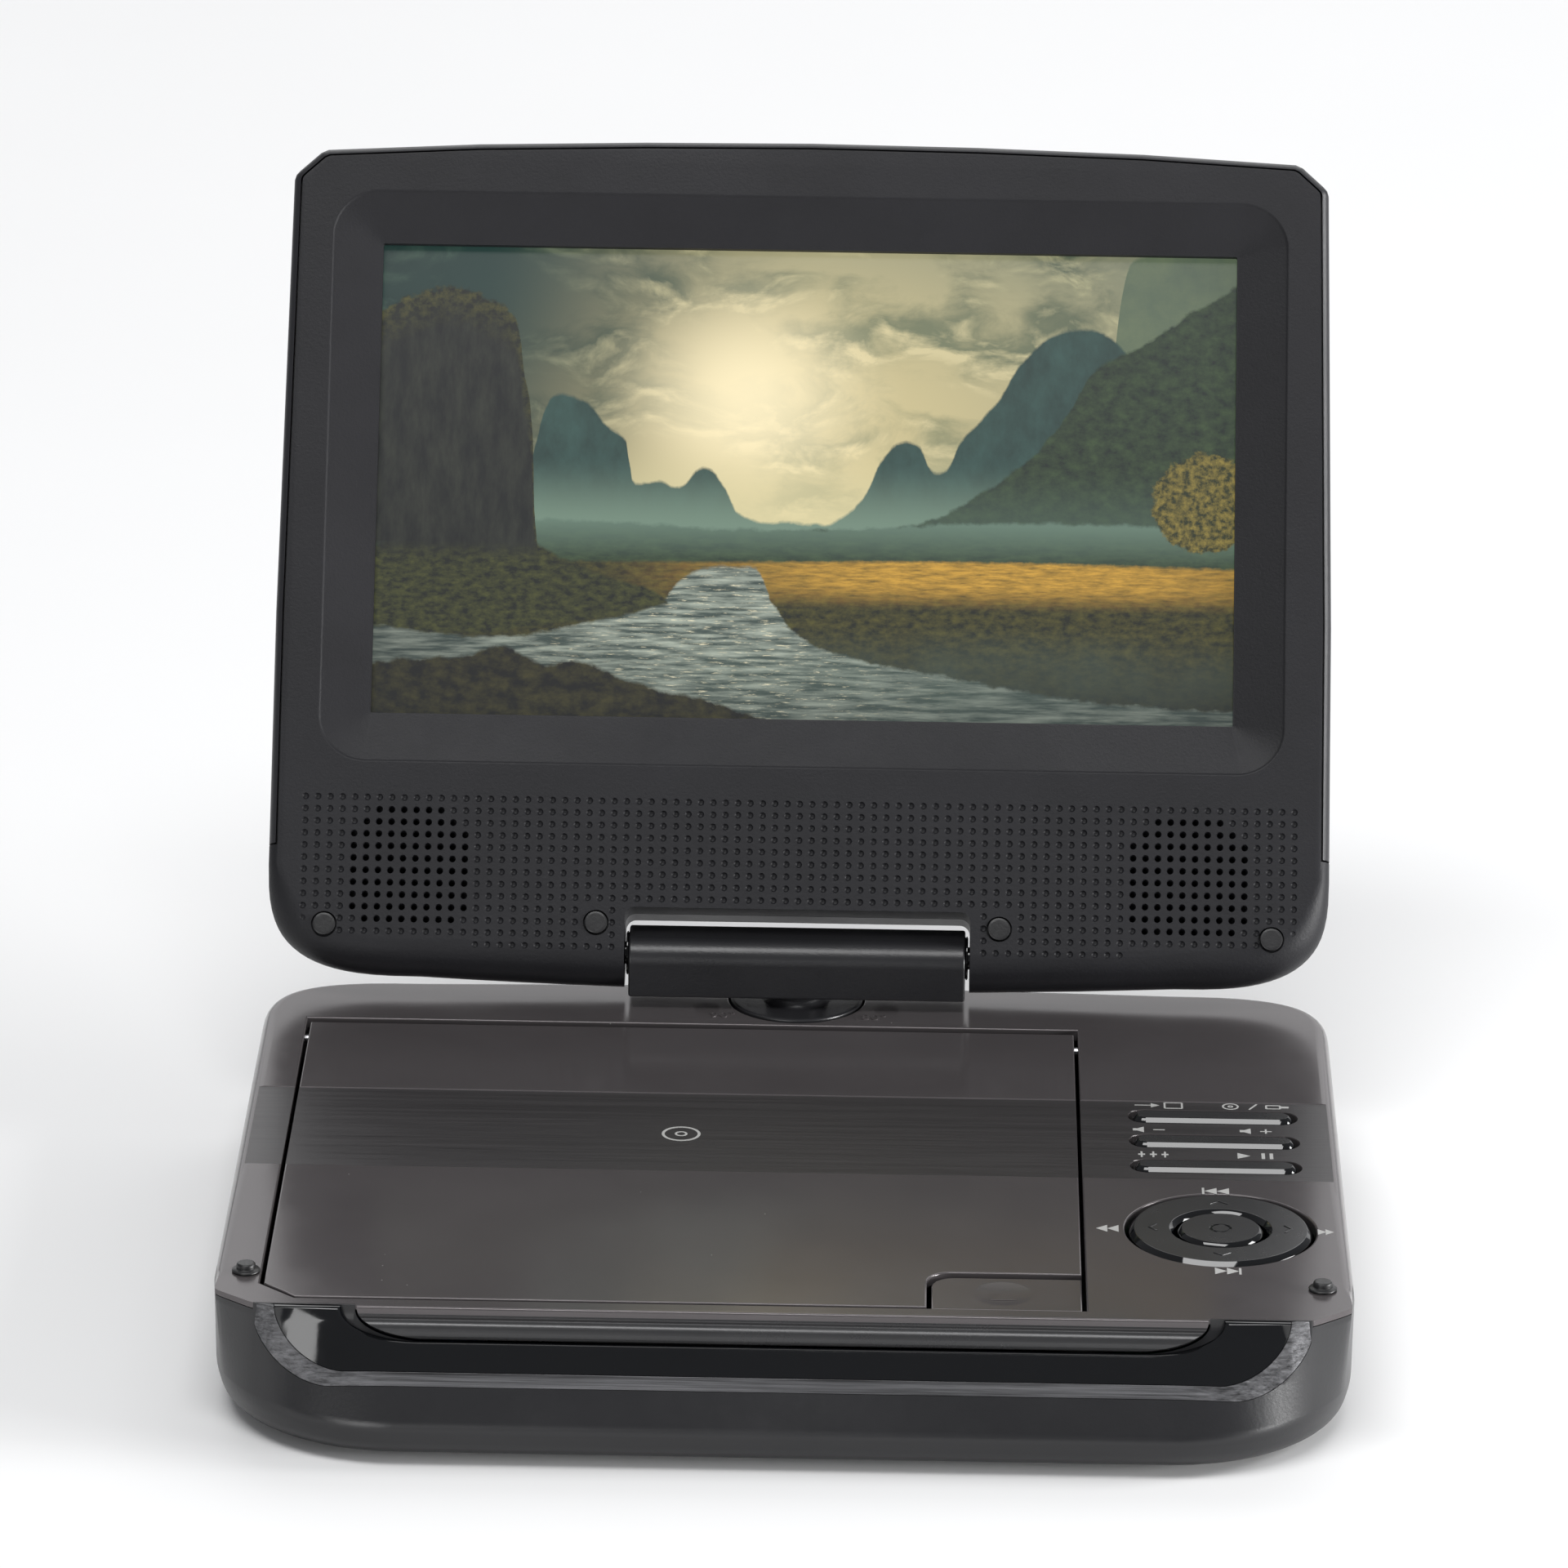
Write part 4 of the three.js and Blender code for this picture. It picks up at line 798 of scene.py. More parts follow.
def top_frame():
    frame_top = keep(base_body(), prism(plate_outline(), SPLIT_Z, TOP + 1), above_split(0))
    frame_top = cut(frame_top, keep(base_body(WALL), block(-FAR, FAR, -FAR, FAR, 0, TOP - 2)))
    frame_top = cut(frame_top, block(-FAR, FAR, -FAR, PLATE_FRONT + WALL, 0, TOP - 2))
    frame_top = join(frame_top, lip(), hub(SPLIT_Z, TOP))
    frame_top = cut(frame_top, rod(12.4, "z", (0, SWIVEL_Y), FOOT + 9, TOP - 5.2))
    frame_top = band_step(frame_top)
    frame_top = cut(frame_top, flared(cover_opening(0.5), 0, TOP, 0.3))
    for y in KEY_YS:
        frame_top = cut(frame_top, flared(stadium(KEY_X, y, KEY_LEN, KEY_W, 0.85, 12), 0, TOP, 0.35))
    frame_top = cut(
        frame_top, flared(circle(PAD["x"], PAD["y"], PAD["slot"], 96), 0, TOP, 0.35),
        flared(circle(0, SWIVEL_Y, SWIVEL_R + GAP, 96), TOP - 2.9, TOP, 0.25), rod(
            8.6 + GAP, "z", (0, SWIVEL_Y), 0, TOP,
        ),
    )
    for side in (-1, 1):
        frame_top = cut(frame_top, flared(circle(side * PEG_X, PEG_Y, 1.85, 32), 0, TOP, 0.3))
    for x0, x1 in ((-88.2, -86.4), (50.1, 51.9)):
        frame_top = join(frame_top, block(x0, x1, 41.2, 45.6, TOP - 5.6, TOP - 1))
        frame_top = cut(frame_top, rod(1.2, "x", COVER_PIN, x0 - 0.4, x1 + 0.4, 24))
    done = piece(frame_top, "top_plate", "base", PLATE, replaces=["top_frame"], smooth_angle=30)
    brush_band(done)
    done.data.materials.append(KEYS)
    for polygon in done.data.polygons:
        y, z = (polygon.center.y - ZERO_Y) / MM, polygon.center.z / MM
        if y < PLATE_FRONT - 0.2 and z < TOP - 1:
            polygon.material_index = 2


def hub(z0, z1):
    """The round boss at the middle of the back edge that the swivel turns in."""
    profile = [
        (0, FOOT + 7), (10, FOOT + 7), (15.2, FOOT + 11.5), (15.2, TOP - 1.8), (15.05, TOP - 1.1), (
            14.6, TOP - 0.5,
        ),
        (13.9, TOP - 0.1), (13.2, TOP), (0, TOP),
    ]
    return keep(turned(profile, 0, SWIVEL_Y, 96), block(-FAR, FAR, -FAR, FAR, z0, z1))


def disc_cover():
    c, e, thick = COVER, EJECT, 1.8
    outline = [(c["cut"][0], c["y0"]), (e["x0"] - GAP, c["y0"])]
    outline += arc(e["x0"] - GAP + e["r"], e["y1"] + GAP - e["r"], e["r"], 180, -90, 12)
    outline += [(c["x1"], e["y1"] + GAP), (c["x1"], c["y1"]), (c["x0"], c["y1"]), (c["x0"], c["cut"][1])]
    cover = band_step(pillow(inset(outline, 0.15), TOP - thick, TOP, 0.3, 0.2, 4))
    cover = cut(cover, block(-FAR, FAR, c["y1"] - 0.7, FAR, TOP - 0.5, TOP + 1))
    for x in (c["x0"] + 0.2, c["x1"] - 2):
        cover = join(
            cover, pillow(rounded_rect(x, x + 1.8, 41.4, 44.6, 0.4, 3), TOP - 4.8, TOP - 1.6, 0.1, 0.3),
        )
        cover = cut(cover, rod(1.2, "x", COVER_PIN, x - 0.4, x + 2.2, 24))
    cover = join(cover, block(33, 39, -65.6, -64.4, TOP - 6.2, TOP - 1.6))
    cover = join(cover, block(33, 39, -66.7, -65.4, TOP - 6.2, TOP - 5.2))
    for y in (-50, -18, 14):
        cover = join(cover, block(-78, 44, y - 0.5, y + 0.5, TOP - 2.25, TOP - 1.6))
    done = piece(cover, "cover_plate", "cover", PLATE, replaces=["disc_cover"], smooth_angle=30)
    brush_band(done)


def eject_button():
    x0, x1 = EJECT["x0"] + 0.25, COVER["x1"] - 0.15
    y0, y1 = COVER["y0"] + 0.1, EJECT["y1"] - GAP - 0.4
    top = TOP - 0.4
    outline = [(x0, y0), (x1, y0), (x1, y1)] + arc(x0 + EJECT["r"], y1 - EJECT["r"], EJECT["r"], 90, 90, 12)
    plate = pillow(outline, TOP - 2.2, top, 0.3, 0.2, 4)
    cx, cy = (x0 + x1) / 2 - 0.6, (y0 + y1) / 2 + 0.3
    reach, r = 60.0, 5.4
    depth = reach - math.sqrt(reach**2 - r**2)
    bowl = arc(0, reach, reach, -90, math.degrees(math.asin(r / reach)), 8)
    dish = turned(bowl + [(r, 4), (0, 4)], 0, 0, 96)
    dish.data.transform(Matrix.Translation((cx, cy, top - depth)))
    plate = cut(plate, dish)
    mark = pillow([(cx - 2.1, cy - 2.6), (cx + 2.1, cy - 2.6), (cx, cy + 0.6)], top - 1, top - 0.04, 0.1)
    plate = join(plate, mark, block(34, 38, -78, -72, TOP - 7.4, TOP - 2))
    piece(plate, "eject_plate", "eject", PLATE, replaces=["eject_button"], smooth_angle=30)


FEET = [(-78, -72), (78, -72), (-78, 46), (78, 46)]
SCREWS = [(-86, -40), (86, -64), (-86, 28.4), (86, 28.4)]
PORT_Z = TOP - 13.2


def bottom_shell():
    plate_zone = keep(prism(plate_outline(0.12), SPLIT_Z - 0.15, TOP + 5), above_split(0.15))
    shell = cut(base_body(), base_body(WALL), plate_zone)
    shell = cut(shell, skin_of(slope_panel(STRIP_AT), 1.6))
    shell = join(shell, hub(0, SPLIT_Z - GAP))
    shell = cut(shell, rod(12.4, "z", (0, SWIVEL_Y), FOOT + 9, TOP))
    shell = cut(shell, slope_panel(NOSE, GAP, out0=-6))
    for x, y in SCREWS:
        shell = join(shell, rod(3.6, "z", (x, y), FOOT + 1, TOP - 12))
        mouth = flared_down(circle(x, y, 2.9), FOOT, FOOT + 2.2, 0.3)
        shell = cut(shell, rod(1.4, "z", (x, y), 0, TOP), mouth)
    for x, y in FEET:
        shell = cut(shell, rod(5.3, "z", (x, y), 0, FOOT + 0.8, 64))
    for i in range(9):
        y = -38 + 5 * i
        shell = cut(shell, prism(stadium(-14, y, 44, 1.6), 0, FOOT + 5))
    shell = cut(shell, port_hole(3.1, 38), port_hole(2.1, 18))
    shell = cut(shell, block(88, FAR, -29.2, -14.8, PORT_Z - 3.5, PORT_Z + 3.5))
    shell = cut(shell, block(HALF_W - 1.1, FAR, -54, -38, PORT_Z - 3.2, PORT_Z + 3.2))
    shell = cut(shell, block(90, FAR, -51, -41, PORT_Z - 1.8, PORT_Z + 1.8))
    piece(shell, "lower_case", "base", SHELL, replaces=["bottom_shell"], smooth_angle=32)


def flared_down(points, low, z1, r):
    """A cutter that opens out downwards at low."""
    cutter = flared(points, -z1, -low, r)
    cutter.data.transform(Matrix.Diagonal((1, 1, -1, 1)))
    cutter.data.flip_normals()
    return cutter


def port_hole(r, y):
    """The bore of a round socket with its countersunk rim, through the right side."""
    profile = [(0, 85), (r, 85), (r, HALF_W - 0.7), (r + 0.7, HALF_W), (r + 0.7, FAR), (0, FAR)]
    return lay_along_x(turned(profile, 0, 0, 48), y, PORT_Z)


def front_trims():
    outer = slope_panel(STRIP_AT, -0.06)
    inner = slope_panel(GLOSS_AT, 0.08, -15, 9, up=8)
    strip = cut(keep(skin_of(outer, 0.8), base_body(), in_front_of_plate()), inner)
    piece(strip, "front_strip", "base", STRIP, edge=0.12, replaces=["front_trim_strip"])
    around_lip = flared(half_stadium((NOSE[0] + 2.5, NOSE[1] + 0.3, NOSE[2] + 0.6, 1.0), 0, 8), -14, 0, 1.1)
    around_lip.data.transform(ON_SLOPE)
    land = raised(TOP, (-84, 0), (-84, -17), (-FAR, -17), (-FAR, -17.2))
    land += [(SLOPE_TOP_Y + y, TOP + z) for y, z in rolled_edge(0.6)]
    skin = skin_of(slope_panel(GLOSS_AT), 0.8)
    gloss = keep(skin, base_body(), in_front_of_plate(), bar(land[::-1], -FAR, FAR))
    piece(
        cut(gloss, around_lip), "front_gloss", "base", GLOSS, replaces=["front_gloss_panel"],
        smooth_angle=20,
    )


def rolled_edge(reach):
    """The rounded edge where the sloping front meets its level top, about the corner itself."""
    low = (-reach * math.cos(SLOPE), -reach * math.sin(SLOPE))
    shares = (0, 0.2, 0.4, 0.6, 0.8, 1)
    return [(lerp(0, low[0], (1 - t) ** 2) + reach * t**2, low[1] * (1 - t) ** 2) for t in shares]


top_frame()
disc_cover()
eject_button()
bottom_shell()
front_trims()


def foot_pads():
    """Rubber feet: round pads with a rolled edge and a shallow moulded ring."""
    for i, (x, y) in enumerate(FEET):
        profile = [(0, 0.25), (2.4, 0.25), (2.6, 0), (4.3, 0)]
        profile += [(4.3 + a, 0.7 + b) for a, b in arc(0, 0, 0.7, -90, 90, 5)[1:]]
        profile += [(5, FOOT + 0.5), (0, FOOT + 0.5)]
        pad = turned(profile, x, y, 64)
        piece(
            pad, f"foot_pad_{i + 1}", "base", RUBBER, replaces=[f"foot_{i + 1}"], smooth_angle=50,
        )


def case_screws():
    """Countersunk cross-head screws, deep in their holes."""
    for i, (x, y) in enumerate(SCREWS):
        z = FOOT + 1.9
        profile = [
            (0, z - 1.6), (2.2, z - 1.6), (2.5, z - 1.35), (2.5, z), (1.1, z), (1.1, TOP - 13),
            (0, TOP - 13),
        ]
        slot = pillow(rounded_rect(-1.5, 1.5, -0.28, 0.28, 0.1, 2), 0, z - 0.9, 0.2)
        screw = cut(turned(profile, x, y, 40), *crossed(slot, x, y, 20 * i))
        piece(screw, f"screw_{i + 1}", "base", STEEL, replaces=[f"case_screw_{i + 1}"])


def stop_pegs():
    """The two rubber pegs that the shut lid rests on, each a rounded post above a collar."""
    for side, name in ((-1, "left"), (1, "right")):
        top = TOP + 1.6
        profile = raised(
            TOP, (0, -5), (2.4, -5), (2.4, -2.4), (1.5, -2.4), (1.5, 0.1), (2.2, 0.12), (2.35, 0.22),
            (2.35, 0.36), (2.2, 0.5), (1.75, 0.56), (1.6, 0.68),
        )
        profile += [(1.15 + a, top - 0.45 + b) for a, b in arc(0, 0, 0.45, 0, 90, 6)] + [(0, top)]
        peg = turned(profile, side * PEG_X, PEG_Y, 48)
        piece(peg, f"peg_{name}", "base", RUBBER, replaces=[f"stop_peg_{name}"], smooth_angle=50)


def crown(outline, low, chamfer=0.7, flat=TOP + KEY_RISE):
    """A key cap: straight sides, a glossy chamfer all round, and a flat top face."""
    rings = [
        (0, low), (0, flat - chamfer - 0.12), (0.06, flat - chamfer), (chamfer - 0.02, flat - 0.06),
        (chamfer + 0.1, flat),
    ]
    return loft([at_height(inset(outline, d), z) for d, z in rings])


def two_finish(done, top=TOP + KEY_RISE):
    """A key's flat top is painted like the plate; its sides and chamfer stay glossy black."""
    done.data.materials.append(KEYS)
    for polygon in done.data.polygons:
        if polygon.normal.z > 0.95 and polygon.center.z > (top - 0.1) * MM:
            polygon.material_index = 1


def rocker_keys():
    for y, name in zip(KEY_YS, ("source", "volume", "setup")):
        cap = crown(stadium(KEY_X, y, KEY_LEN, KEY_W, 0, 16), TOP - 2.6)
        cap = join(cap, block(KEY_X - 1.2, KEY_X + 1.2, y - 1.6, y + 1.6, TOP - 3.4, TOP - 2.5))
        done = piece(cap, f"{name}_rocker", name, GLOSS, replaces=[f"{name}_key"], smooth_angle=25)
        two_finish(done)


def chevron(turn):
    """A thin raised arrow head, pointing along +y before it is turned."""
    half = [(-1.45, -0.6), (0, 0.55), (1.45, -0.6), (1.45, -0.98), (0, 0.17), (-1.45, -0.98)]
    arrow = pillow(half[::-1], TOP + 0.2, TOP + 0.42, 0.06)
    place = Matrix.Translation((PAD["x"], PAD["y"], 0)) @ Matrix.Rotation(math.radians(turn), 4, "Z")
    arrow.data.transform(place @ Matrix.Translation((0, 11.6, 0)))
    return arrow


def pad_keys():
    z, low = TOP + KEY_RISE, TOP - 2.6
    outer, inner = PAD["outer"], PAD["inner"]
    profile = [
        (inner, low), (outer, low), (outer, z - 0.85), (outer - 0.06, z - 0.75), (outer - 0.78, z - 0.05),
        (outer - 0.9, z), (inner + 0.9, z), (inner + 0.78, z - 0.05), (inner + 0.06, z - 0.75),
        (inner, z - 0.85),
    ]
    ring = ring_solid(profile, PAD["x"], PAD["y"], 128)
    ring = join(ring, chevron(0), chevron(90), chevron(180), chevron(270))
    two_finish(piece(ring, "pad_rocker", "pad", GLOSS, replaces=["pad_ring"], smooth_angle=25))

    r = PAD["ok"]
    ok = crown(circle(PAD["x"], PAD["y"], r, 96), TOP - 3, 0.6)
    groove = raised(TOP, (1.45, 0.2), (1.85, 0.2), (1.95, 0.4), (1.35, 0.4))
    ok = cut(ok, ring_solid(groove, PAD["x"], PAD["y"], 48))
    two_finish(piece(ok, "ok_button", "ok", GLOSS, replaces=["ok_key"], smooth_angle=25))


foot_pads()
case_screws()
stop_pegs()
rocker_keys()
pad_keys()


# ---------------------------------------------------------------- hinge, about the tilt axis
UPRIGHT = Matrix.Translation(AXIS) @ Matrix.Scale(MM, 4)
BLOCK = dict(half=29.9, reach=6.5, low=-6.0, high=4.1, r=4.0)


def hinge_block():
    b = BLOCK
    foot_r, end_r = 0.5, 0.45
    profile = arc(b["reach"] - foot_r, b["low"] + foot_r, foot_r, -90, 90, 5)
    profile += arc(b["reach"] - b["r"], b["high"] - b["r"], b["r"], 0, 90, 16)
    profile += arc(b["r"] - b["reach"], b["high"] - b["r"], b["r"], 90, 90, 16)
    profile += arc(foot_r - b["reach"], b["low"] + foot_r, foot_r, 180, 90, 5)
    body = lay_along_x(pillow(profile, -b["half"], b["half"], end_r, end_r, 4))
    for side in (-1, 1):
        body = cut(body, rod(HINGE_PIN_BORE, "x", (0, 0), *sorted((side * 20.3, side * 32))))
    for x in (-16, 16):
        body = cut(body, rod(2.4, "z", (x, 0.6), -9, b["low"] + 1.4))
    piece(body, "hinge_cover", "hinge", HINGE, UPRIGHT, replaces=["hinge_block"], smooth_angle=25)


def hinge_pins():
    """Turned pins with a rounded, grooved collar between the block and the lid."""
    for side, name in ((-1, "left"), (1, "right")):
        b = BLOCK["half"] - 0.6
        profile = raised(
            b, (0, -8.5), (1.7, -8.5), (2, -8.2), (2, 0.3), (3.5, 0.3), (3.9, 0.45), (3.9, 0.6),
            (3.65, 0.7), (3.9, 0.8), (3.9, 0.95), (3.6, 1.1), (2, 1.1), (2, 9.2), (1.7, 9.5),
        )
        pin = turned(profile + [(0, b + 9.5)], 0, 0, 64)
        pin.data.transform(Matrix(((0, 0, side, 0), (side, 0, 0, 0), (0, 1, 0, 0), (0, 0, 0, 1))))
        piece(pin, f"pin_{name}", "hinge", GLOSS, UPRIGHT, replaces=[f"hinge_pin_{name}"])


def swivel_disc():
    """The turntable flush in the plate, with a flared neck up to the hinge block."""
    top = TOP + 8.2 + BLOCK["low"] - GAP
    profile = [
        (0, TOP - 8), (4.4, TOP - 8), (4.4, TOP - 5.2), (8.6, TOP - 5.2), (8.6, TOP - 2.6),
        (11.8, TOP - 2.6), (11.8, TOP + 0.05), (11.72, TOP + 0.25), (11.5, TOP + 0.38), (11.2, TOP + 0.42),
        (10.6, TOP + 0.3), (6.4, TOP + 0.2), (5.9, TOP + 0.3), (5.55, TOP + 0.6), (5.3, TOP + 1.0),
        (5.3, top - 0.5), (4.9, top), (0, top),
    ]
    disc = turned(profile, 0, SWIVEL_Y, 128)
    piece(disc, "swivel_plate", "hinge", HINGE, replaces=["swivel_disc"], smooth_angle=30)


hinge_block()
hinge_pins()
swivel_disc()

# ---------------------------------------------------------------- lid: x, v up, n out of the screen
STEP_V = 17.4
LID_PADS = {"outer": (84.1, 3.1), "inner": (35.8, 4.15)}
PITCH = 2.2
LID_EDGE, LID_FACE = 2.4, 1.8  # the lid's walls, round its edge and under its faces


def lid_body():
    outline = lid_outline()
    radius = [lerp(5.7, 2.2, smooth(v, 2, 18)) for _, v in outline]
    corners = {p: r for p, r in zip(outline, radius)}
    rings = []
    for face in (-1, 1):
        for sine, cosine in quarter(8)[::-face]:
            points = inset(outline, lambda p: corners[p] * sine)
            rings.append([(x, v, face * (FACE - r * cosine)) for (x, v), r in zip(points, radius)])
    return cut(loft(rings), prism(rounded_rect(-30.7, 30.7, -20, 7.1, 1.8), -20, 20))


def bezel_zone(grow, depth_grow):
    """Where the lid is bezel: its whole face low down, and set in from the edge above the step."""
    upper = [p for p in inset(lid_outline(), 1.6 - grow) if p[1] > STEP_V - 8]
    low_band = block(-FAR, FAR, -30, STEP_V + grow, 0.2 - depth_grow, FACE + 1)
    return join(prism(upper, FACE - 2.4 - depth_grow, FACE + 1), low_band)


def lid_hollow():
    cavity = prism(inset(lid_outline(), LID_EDGE), -FACE + LID_FACE, FACE - LID_FACE)
    cavity = keep(cavity, block(-FAR, FAR, 12.5, 200, -20, 20))
    for s in (-1, 1):
        speaker_room = rounded_rect(s * 61 - 26, s * 61 + 26, 0.5, 13, 2)
        cavity = join(cavity, prism(speaker_room, -FACE + 2.4, FACE - LID_FACE))
    return cavity


def pin_seats():
    return gather([rod(HINGE_PIN_BORE, "x", (0, 0), *sorted((s * 20, s * 39.2))) for s in (-1, 1)])


def picture_recess():
    """The sloping frame round the picture, with a slightly rounded rim."""
    w, r = WINDOW, RECESS
    rings = []
    slope = [(0, -FACE), (0, FACE - 3.0), (0.03, FACE - 2.96)]
    rim = raised(FACE, (0.955, -0.32), (0.985, -0.16), (1.0, -0.05))
    for k, n in slope + rim:
        x = lerp(w["w"], r["w"], k)
        low, high = lerp(w["low"], r["low"], k), lerp(w["high"], r["high"], k)
        rings.append(at_height(rounded_rect(-x, x, low, high, lerp(0.3, r["r"], k), 16), n))
    outer = rounded_rect(-r["w"], r["w"], r["low"], r["high"], r["r"], 16)
    rings.append(at_height(inset(outer, -0.25), FACE + 0.004))
    rings.append(at_height(inset(outer, -0.25), FACE + 2))
    return loft(rings)


def grille():
    """Every dimple and sound hole of the grille, as two lists of (x, v) places."""
    holes = {1: (6, 11), 2: (5, 12), 10: (5, 12), **{row: (4, 13) for row in range(3, 10)}}
    low_rows = {
        9: [*range(0, 23), 25], 10: [0, *range(3, 23), 25], 11: [*range(3, 23), 25], 12: [*range(14, 26)],
    }
    dimples, through = [], []
    for row in range(13):
        for column in range(81):
            near = min(column, 80 - column)
            if row in low_rows and near not in low_rows[row]:
                continue
            first, last = holes.get(row, (1, 0))
            place = (-88 + PITCH * column, 26.2 - PITCH * row, 0)
            (through if first <= near <= last else dimples).append(place)
    return dimples, through


def lid_bezel():
    bezel = cut(keep(lid_body(), bezel_zone(0, 0)), lid_hollow(), pin_seats())
    bezel = cut(join(bezel, block(-84.5, 84.5, 31, 139.5, FACE - 4.4, FACE - 1.2)), picture_recess())
    for s in (-1, 1):
        for x, v in LID_PADS.values():
            bezel = cut(bezel, rod(2.3, "z", (s * x, v), FACE - 0.9, FACE + 2, 48))
    dimples, through = grille()
    dish = raised(FACE, (0, -0.42), (0.3, -0.38), (0.5, -0.24), (0.64, 0.02))
    bore = raised(FACE, (0, -3), (0.52, -3), (0.52, -0.3), (0.66, 0.02))
    mouth = [(0.7, FACE + 0.4), (0, FACE + 0.4)]
    bezel = cut(bezel, copies(turned(dish + mouth, 0, 0, 14), dimples))
    bezel = cut(bezel, copies(turned(bore + mouth, 0, 0, 14), through))
    piece(bezel, "bezel_face", "lid", BEZEL, LID, replaces=["lid_bezel"], smooth_angle=30)


def lid_back():
    back = cut(lid_body(), bezel_zone(GAP, GAP), lid_hollow(), pin_seats())
    piece(back, "back_skin", "lid", LID_SKIN, LID, replaces=["lid_back_cover"], smooth_angle=25)


def lid_bumpers():
    profile = [(0, -0.6), (2, -0.6), (2, 0.22), (1.94, 0.33), (1.8, 0.38), (1.5, 0.4), (0, 0.36)]
    profile = [(r, FACE + out) for r, out in profile]
    for key, (x, v) in LID_PADS.items():
        for s, side in ((-1, "left"), (1, "right")):
            pad = turned(profile, s * x, v, 64)
            node = f"lid_pad_{key}_{side}"
            piece(
                pad, f"bumper_{key}_{side}", "lid", RUBBER, LID, replaces=[node], smooth_angle=40,
            )


lid_bezel()
lid_back()
lid_bumpers()


# ---------------------------------------------------------------- the picture on the screen
class Painter(Nodes):
    """Paints a landscape in layers over a unit square: u to the right, v up."""

    def __init__(self, name):
        super().__init__(name)
        self.place = self.node("UVMap", uv_map="picture").outputs[0]
        self.u, self.v, _ = self.split(self.place)
        self.flat = self.scaled(self.place, (1.78, 1, 1))

    def curve(self, points):
        """A smooth line through (u, v) points, as a height for each u."""
        n = self.node("FloatCurve")
        line = n.mapping.curves[0].points
        for place, (u, v) in zip(line, (points[0], points[-1])):
            place.location = (u, v)
        for u, v in points[1:-1]:
            line.new(u, v)
        n.mapping.update()
        self.put(self.u, n.inputs["Value"])
        return n.outputs[0]

    def ragged(self, height, rough, scale):
        """A height line broken up by fine noise along it."""
        ragged = self.minus(self.noise(self.flat, scale, 6.0, 0.62), 0.5)
        return self.plus(height, self.times(ragged, rough))

    def under(self, height, soft=0.004):
        """1 under a height line and 0 over it."""
        gap = self.minus(height, self.v)
        return self.remap(gap, -soft, soft)

    def hill(self, line, rough, scale):
        """1 under a ragged line through (u, v) points and 0 over it."""
        return self.under(self.ragged(self.curve(line), rough, scale))

    def blob(self, u, v, ru, rv, soft=0.25):
        du = self.math("DIVIDE", self.minus(self.u, u), ru)
        dv = self.math("DIVIDE", self.minus(self.v, v), rv)
        square = self.plus(self.times(du, du), self.times(dv, dv))
        far = self.math("SQRT", square)
        return self.remap(far, 1 - soft, 1 + soft, 1, 0, smooth=True)

    def texture(self, dark, light, scale, stretch=(1.0, 1.0, 1.0), low=0.35, high=0.68):
        grain = self.noise(self.scaled(self.flat, stretch), scale, 9.0, 0.66)
        return self.mix(self.remap(grain, low, high), rgb(dark), rgb(light))


def sky(p):
    """Banked clouds lit from behind by a low sun, dark at the upper left."""
    wide = p.scaled(p.flat, (1.0, 1.75, 1.0))
    bend = p.node("VectorMath", operation="MULTIPLY_ADD")
    p.put(p.node("TexNoise").outputs["Color"], bend.inputs[0])
    warp = bend.inputs[0].links[0].from_node
    p.put(wide, warp.inputs["Vector"])
    warp.inputs["Scale"].default_value = 3.2
    bend.inputs[1].default_value = (0.24, 0.24, 0.0)
    p.put(wide, bend.inputs[2])
    there = bend.outputs[0]
    shift = p.node("VectorMath", operation="ADD")
    p.put(there, shift.inputs[0])
    shift.inputs[1].default_value = (0.0, -0.035, 0.0)
    cloud = p.noise(there, 3.6, 9.0, 0.56)
    lower = p.noise(shift.outputs[0], 3.6, 9.0, 0.56)
    rim = p.remap(p.minus(cloud, lower), -0.02, 0.09)
    body = p.remap(cloud, 0.42, 0.62, smooth=True)
    glow = p.blob(0.45, 0.6, 0.42, 0.42, 0.95)
    halo = p.blob(0.43, 0.68, 0.1, 0.16, 0.95)
    clear = p.mix(glow, rgb("56675a"), rgb("cdbf8e"))
    clear = p.mix(p.blob(0.02, 1.0, 0.3, 0.75, 0.7), clear, rgb("1d3732"))
    shade = p.mix(glow, rgb("2c4039"), rgb("7f8463"))
    shade = p.mix(p.blob(0.02, 1.0, 0.3, 0.75, 0.7), shade, rgb("15302c"))
    lit = p.mix(glow, rgb("8d9374"), rgb("ead9a6"))
    lit = p.mix(p.blob(0.02, 1.0, 0.26, 0.75, 0.7), lit, rgb("40584a"))
    clouds = p.mix(p.times(rim, 0.85), shade, lit)
    picture = p.mix(body, clear, clouds)
    picture = p.mix(p.times(halo, 0.85), picture, rgb("fff0c4"))
    haze = p.remap(p.v, 0.42, 0.62, 0.75, 0.0, smooth=True)
    return p.mix(p.times(haze, p.blob(0.47, 0.45, 0.5, 0.3, 0.6)), picture, rgb("d9cfa0"))


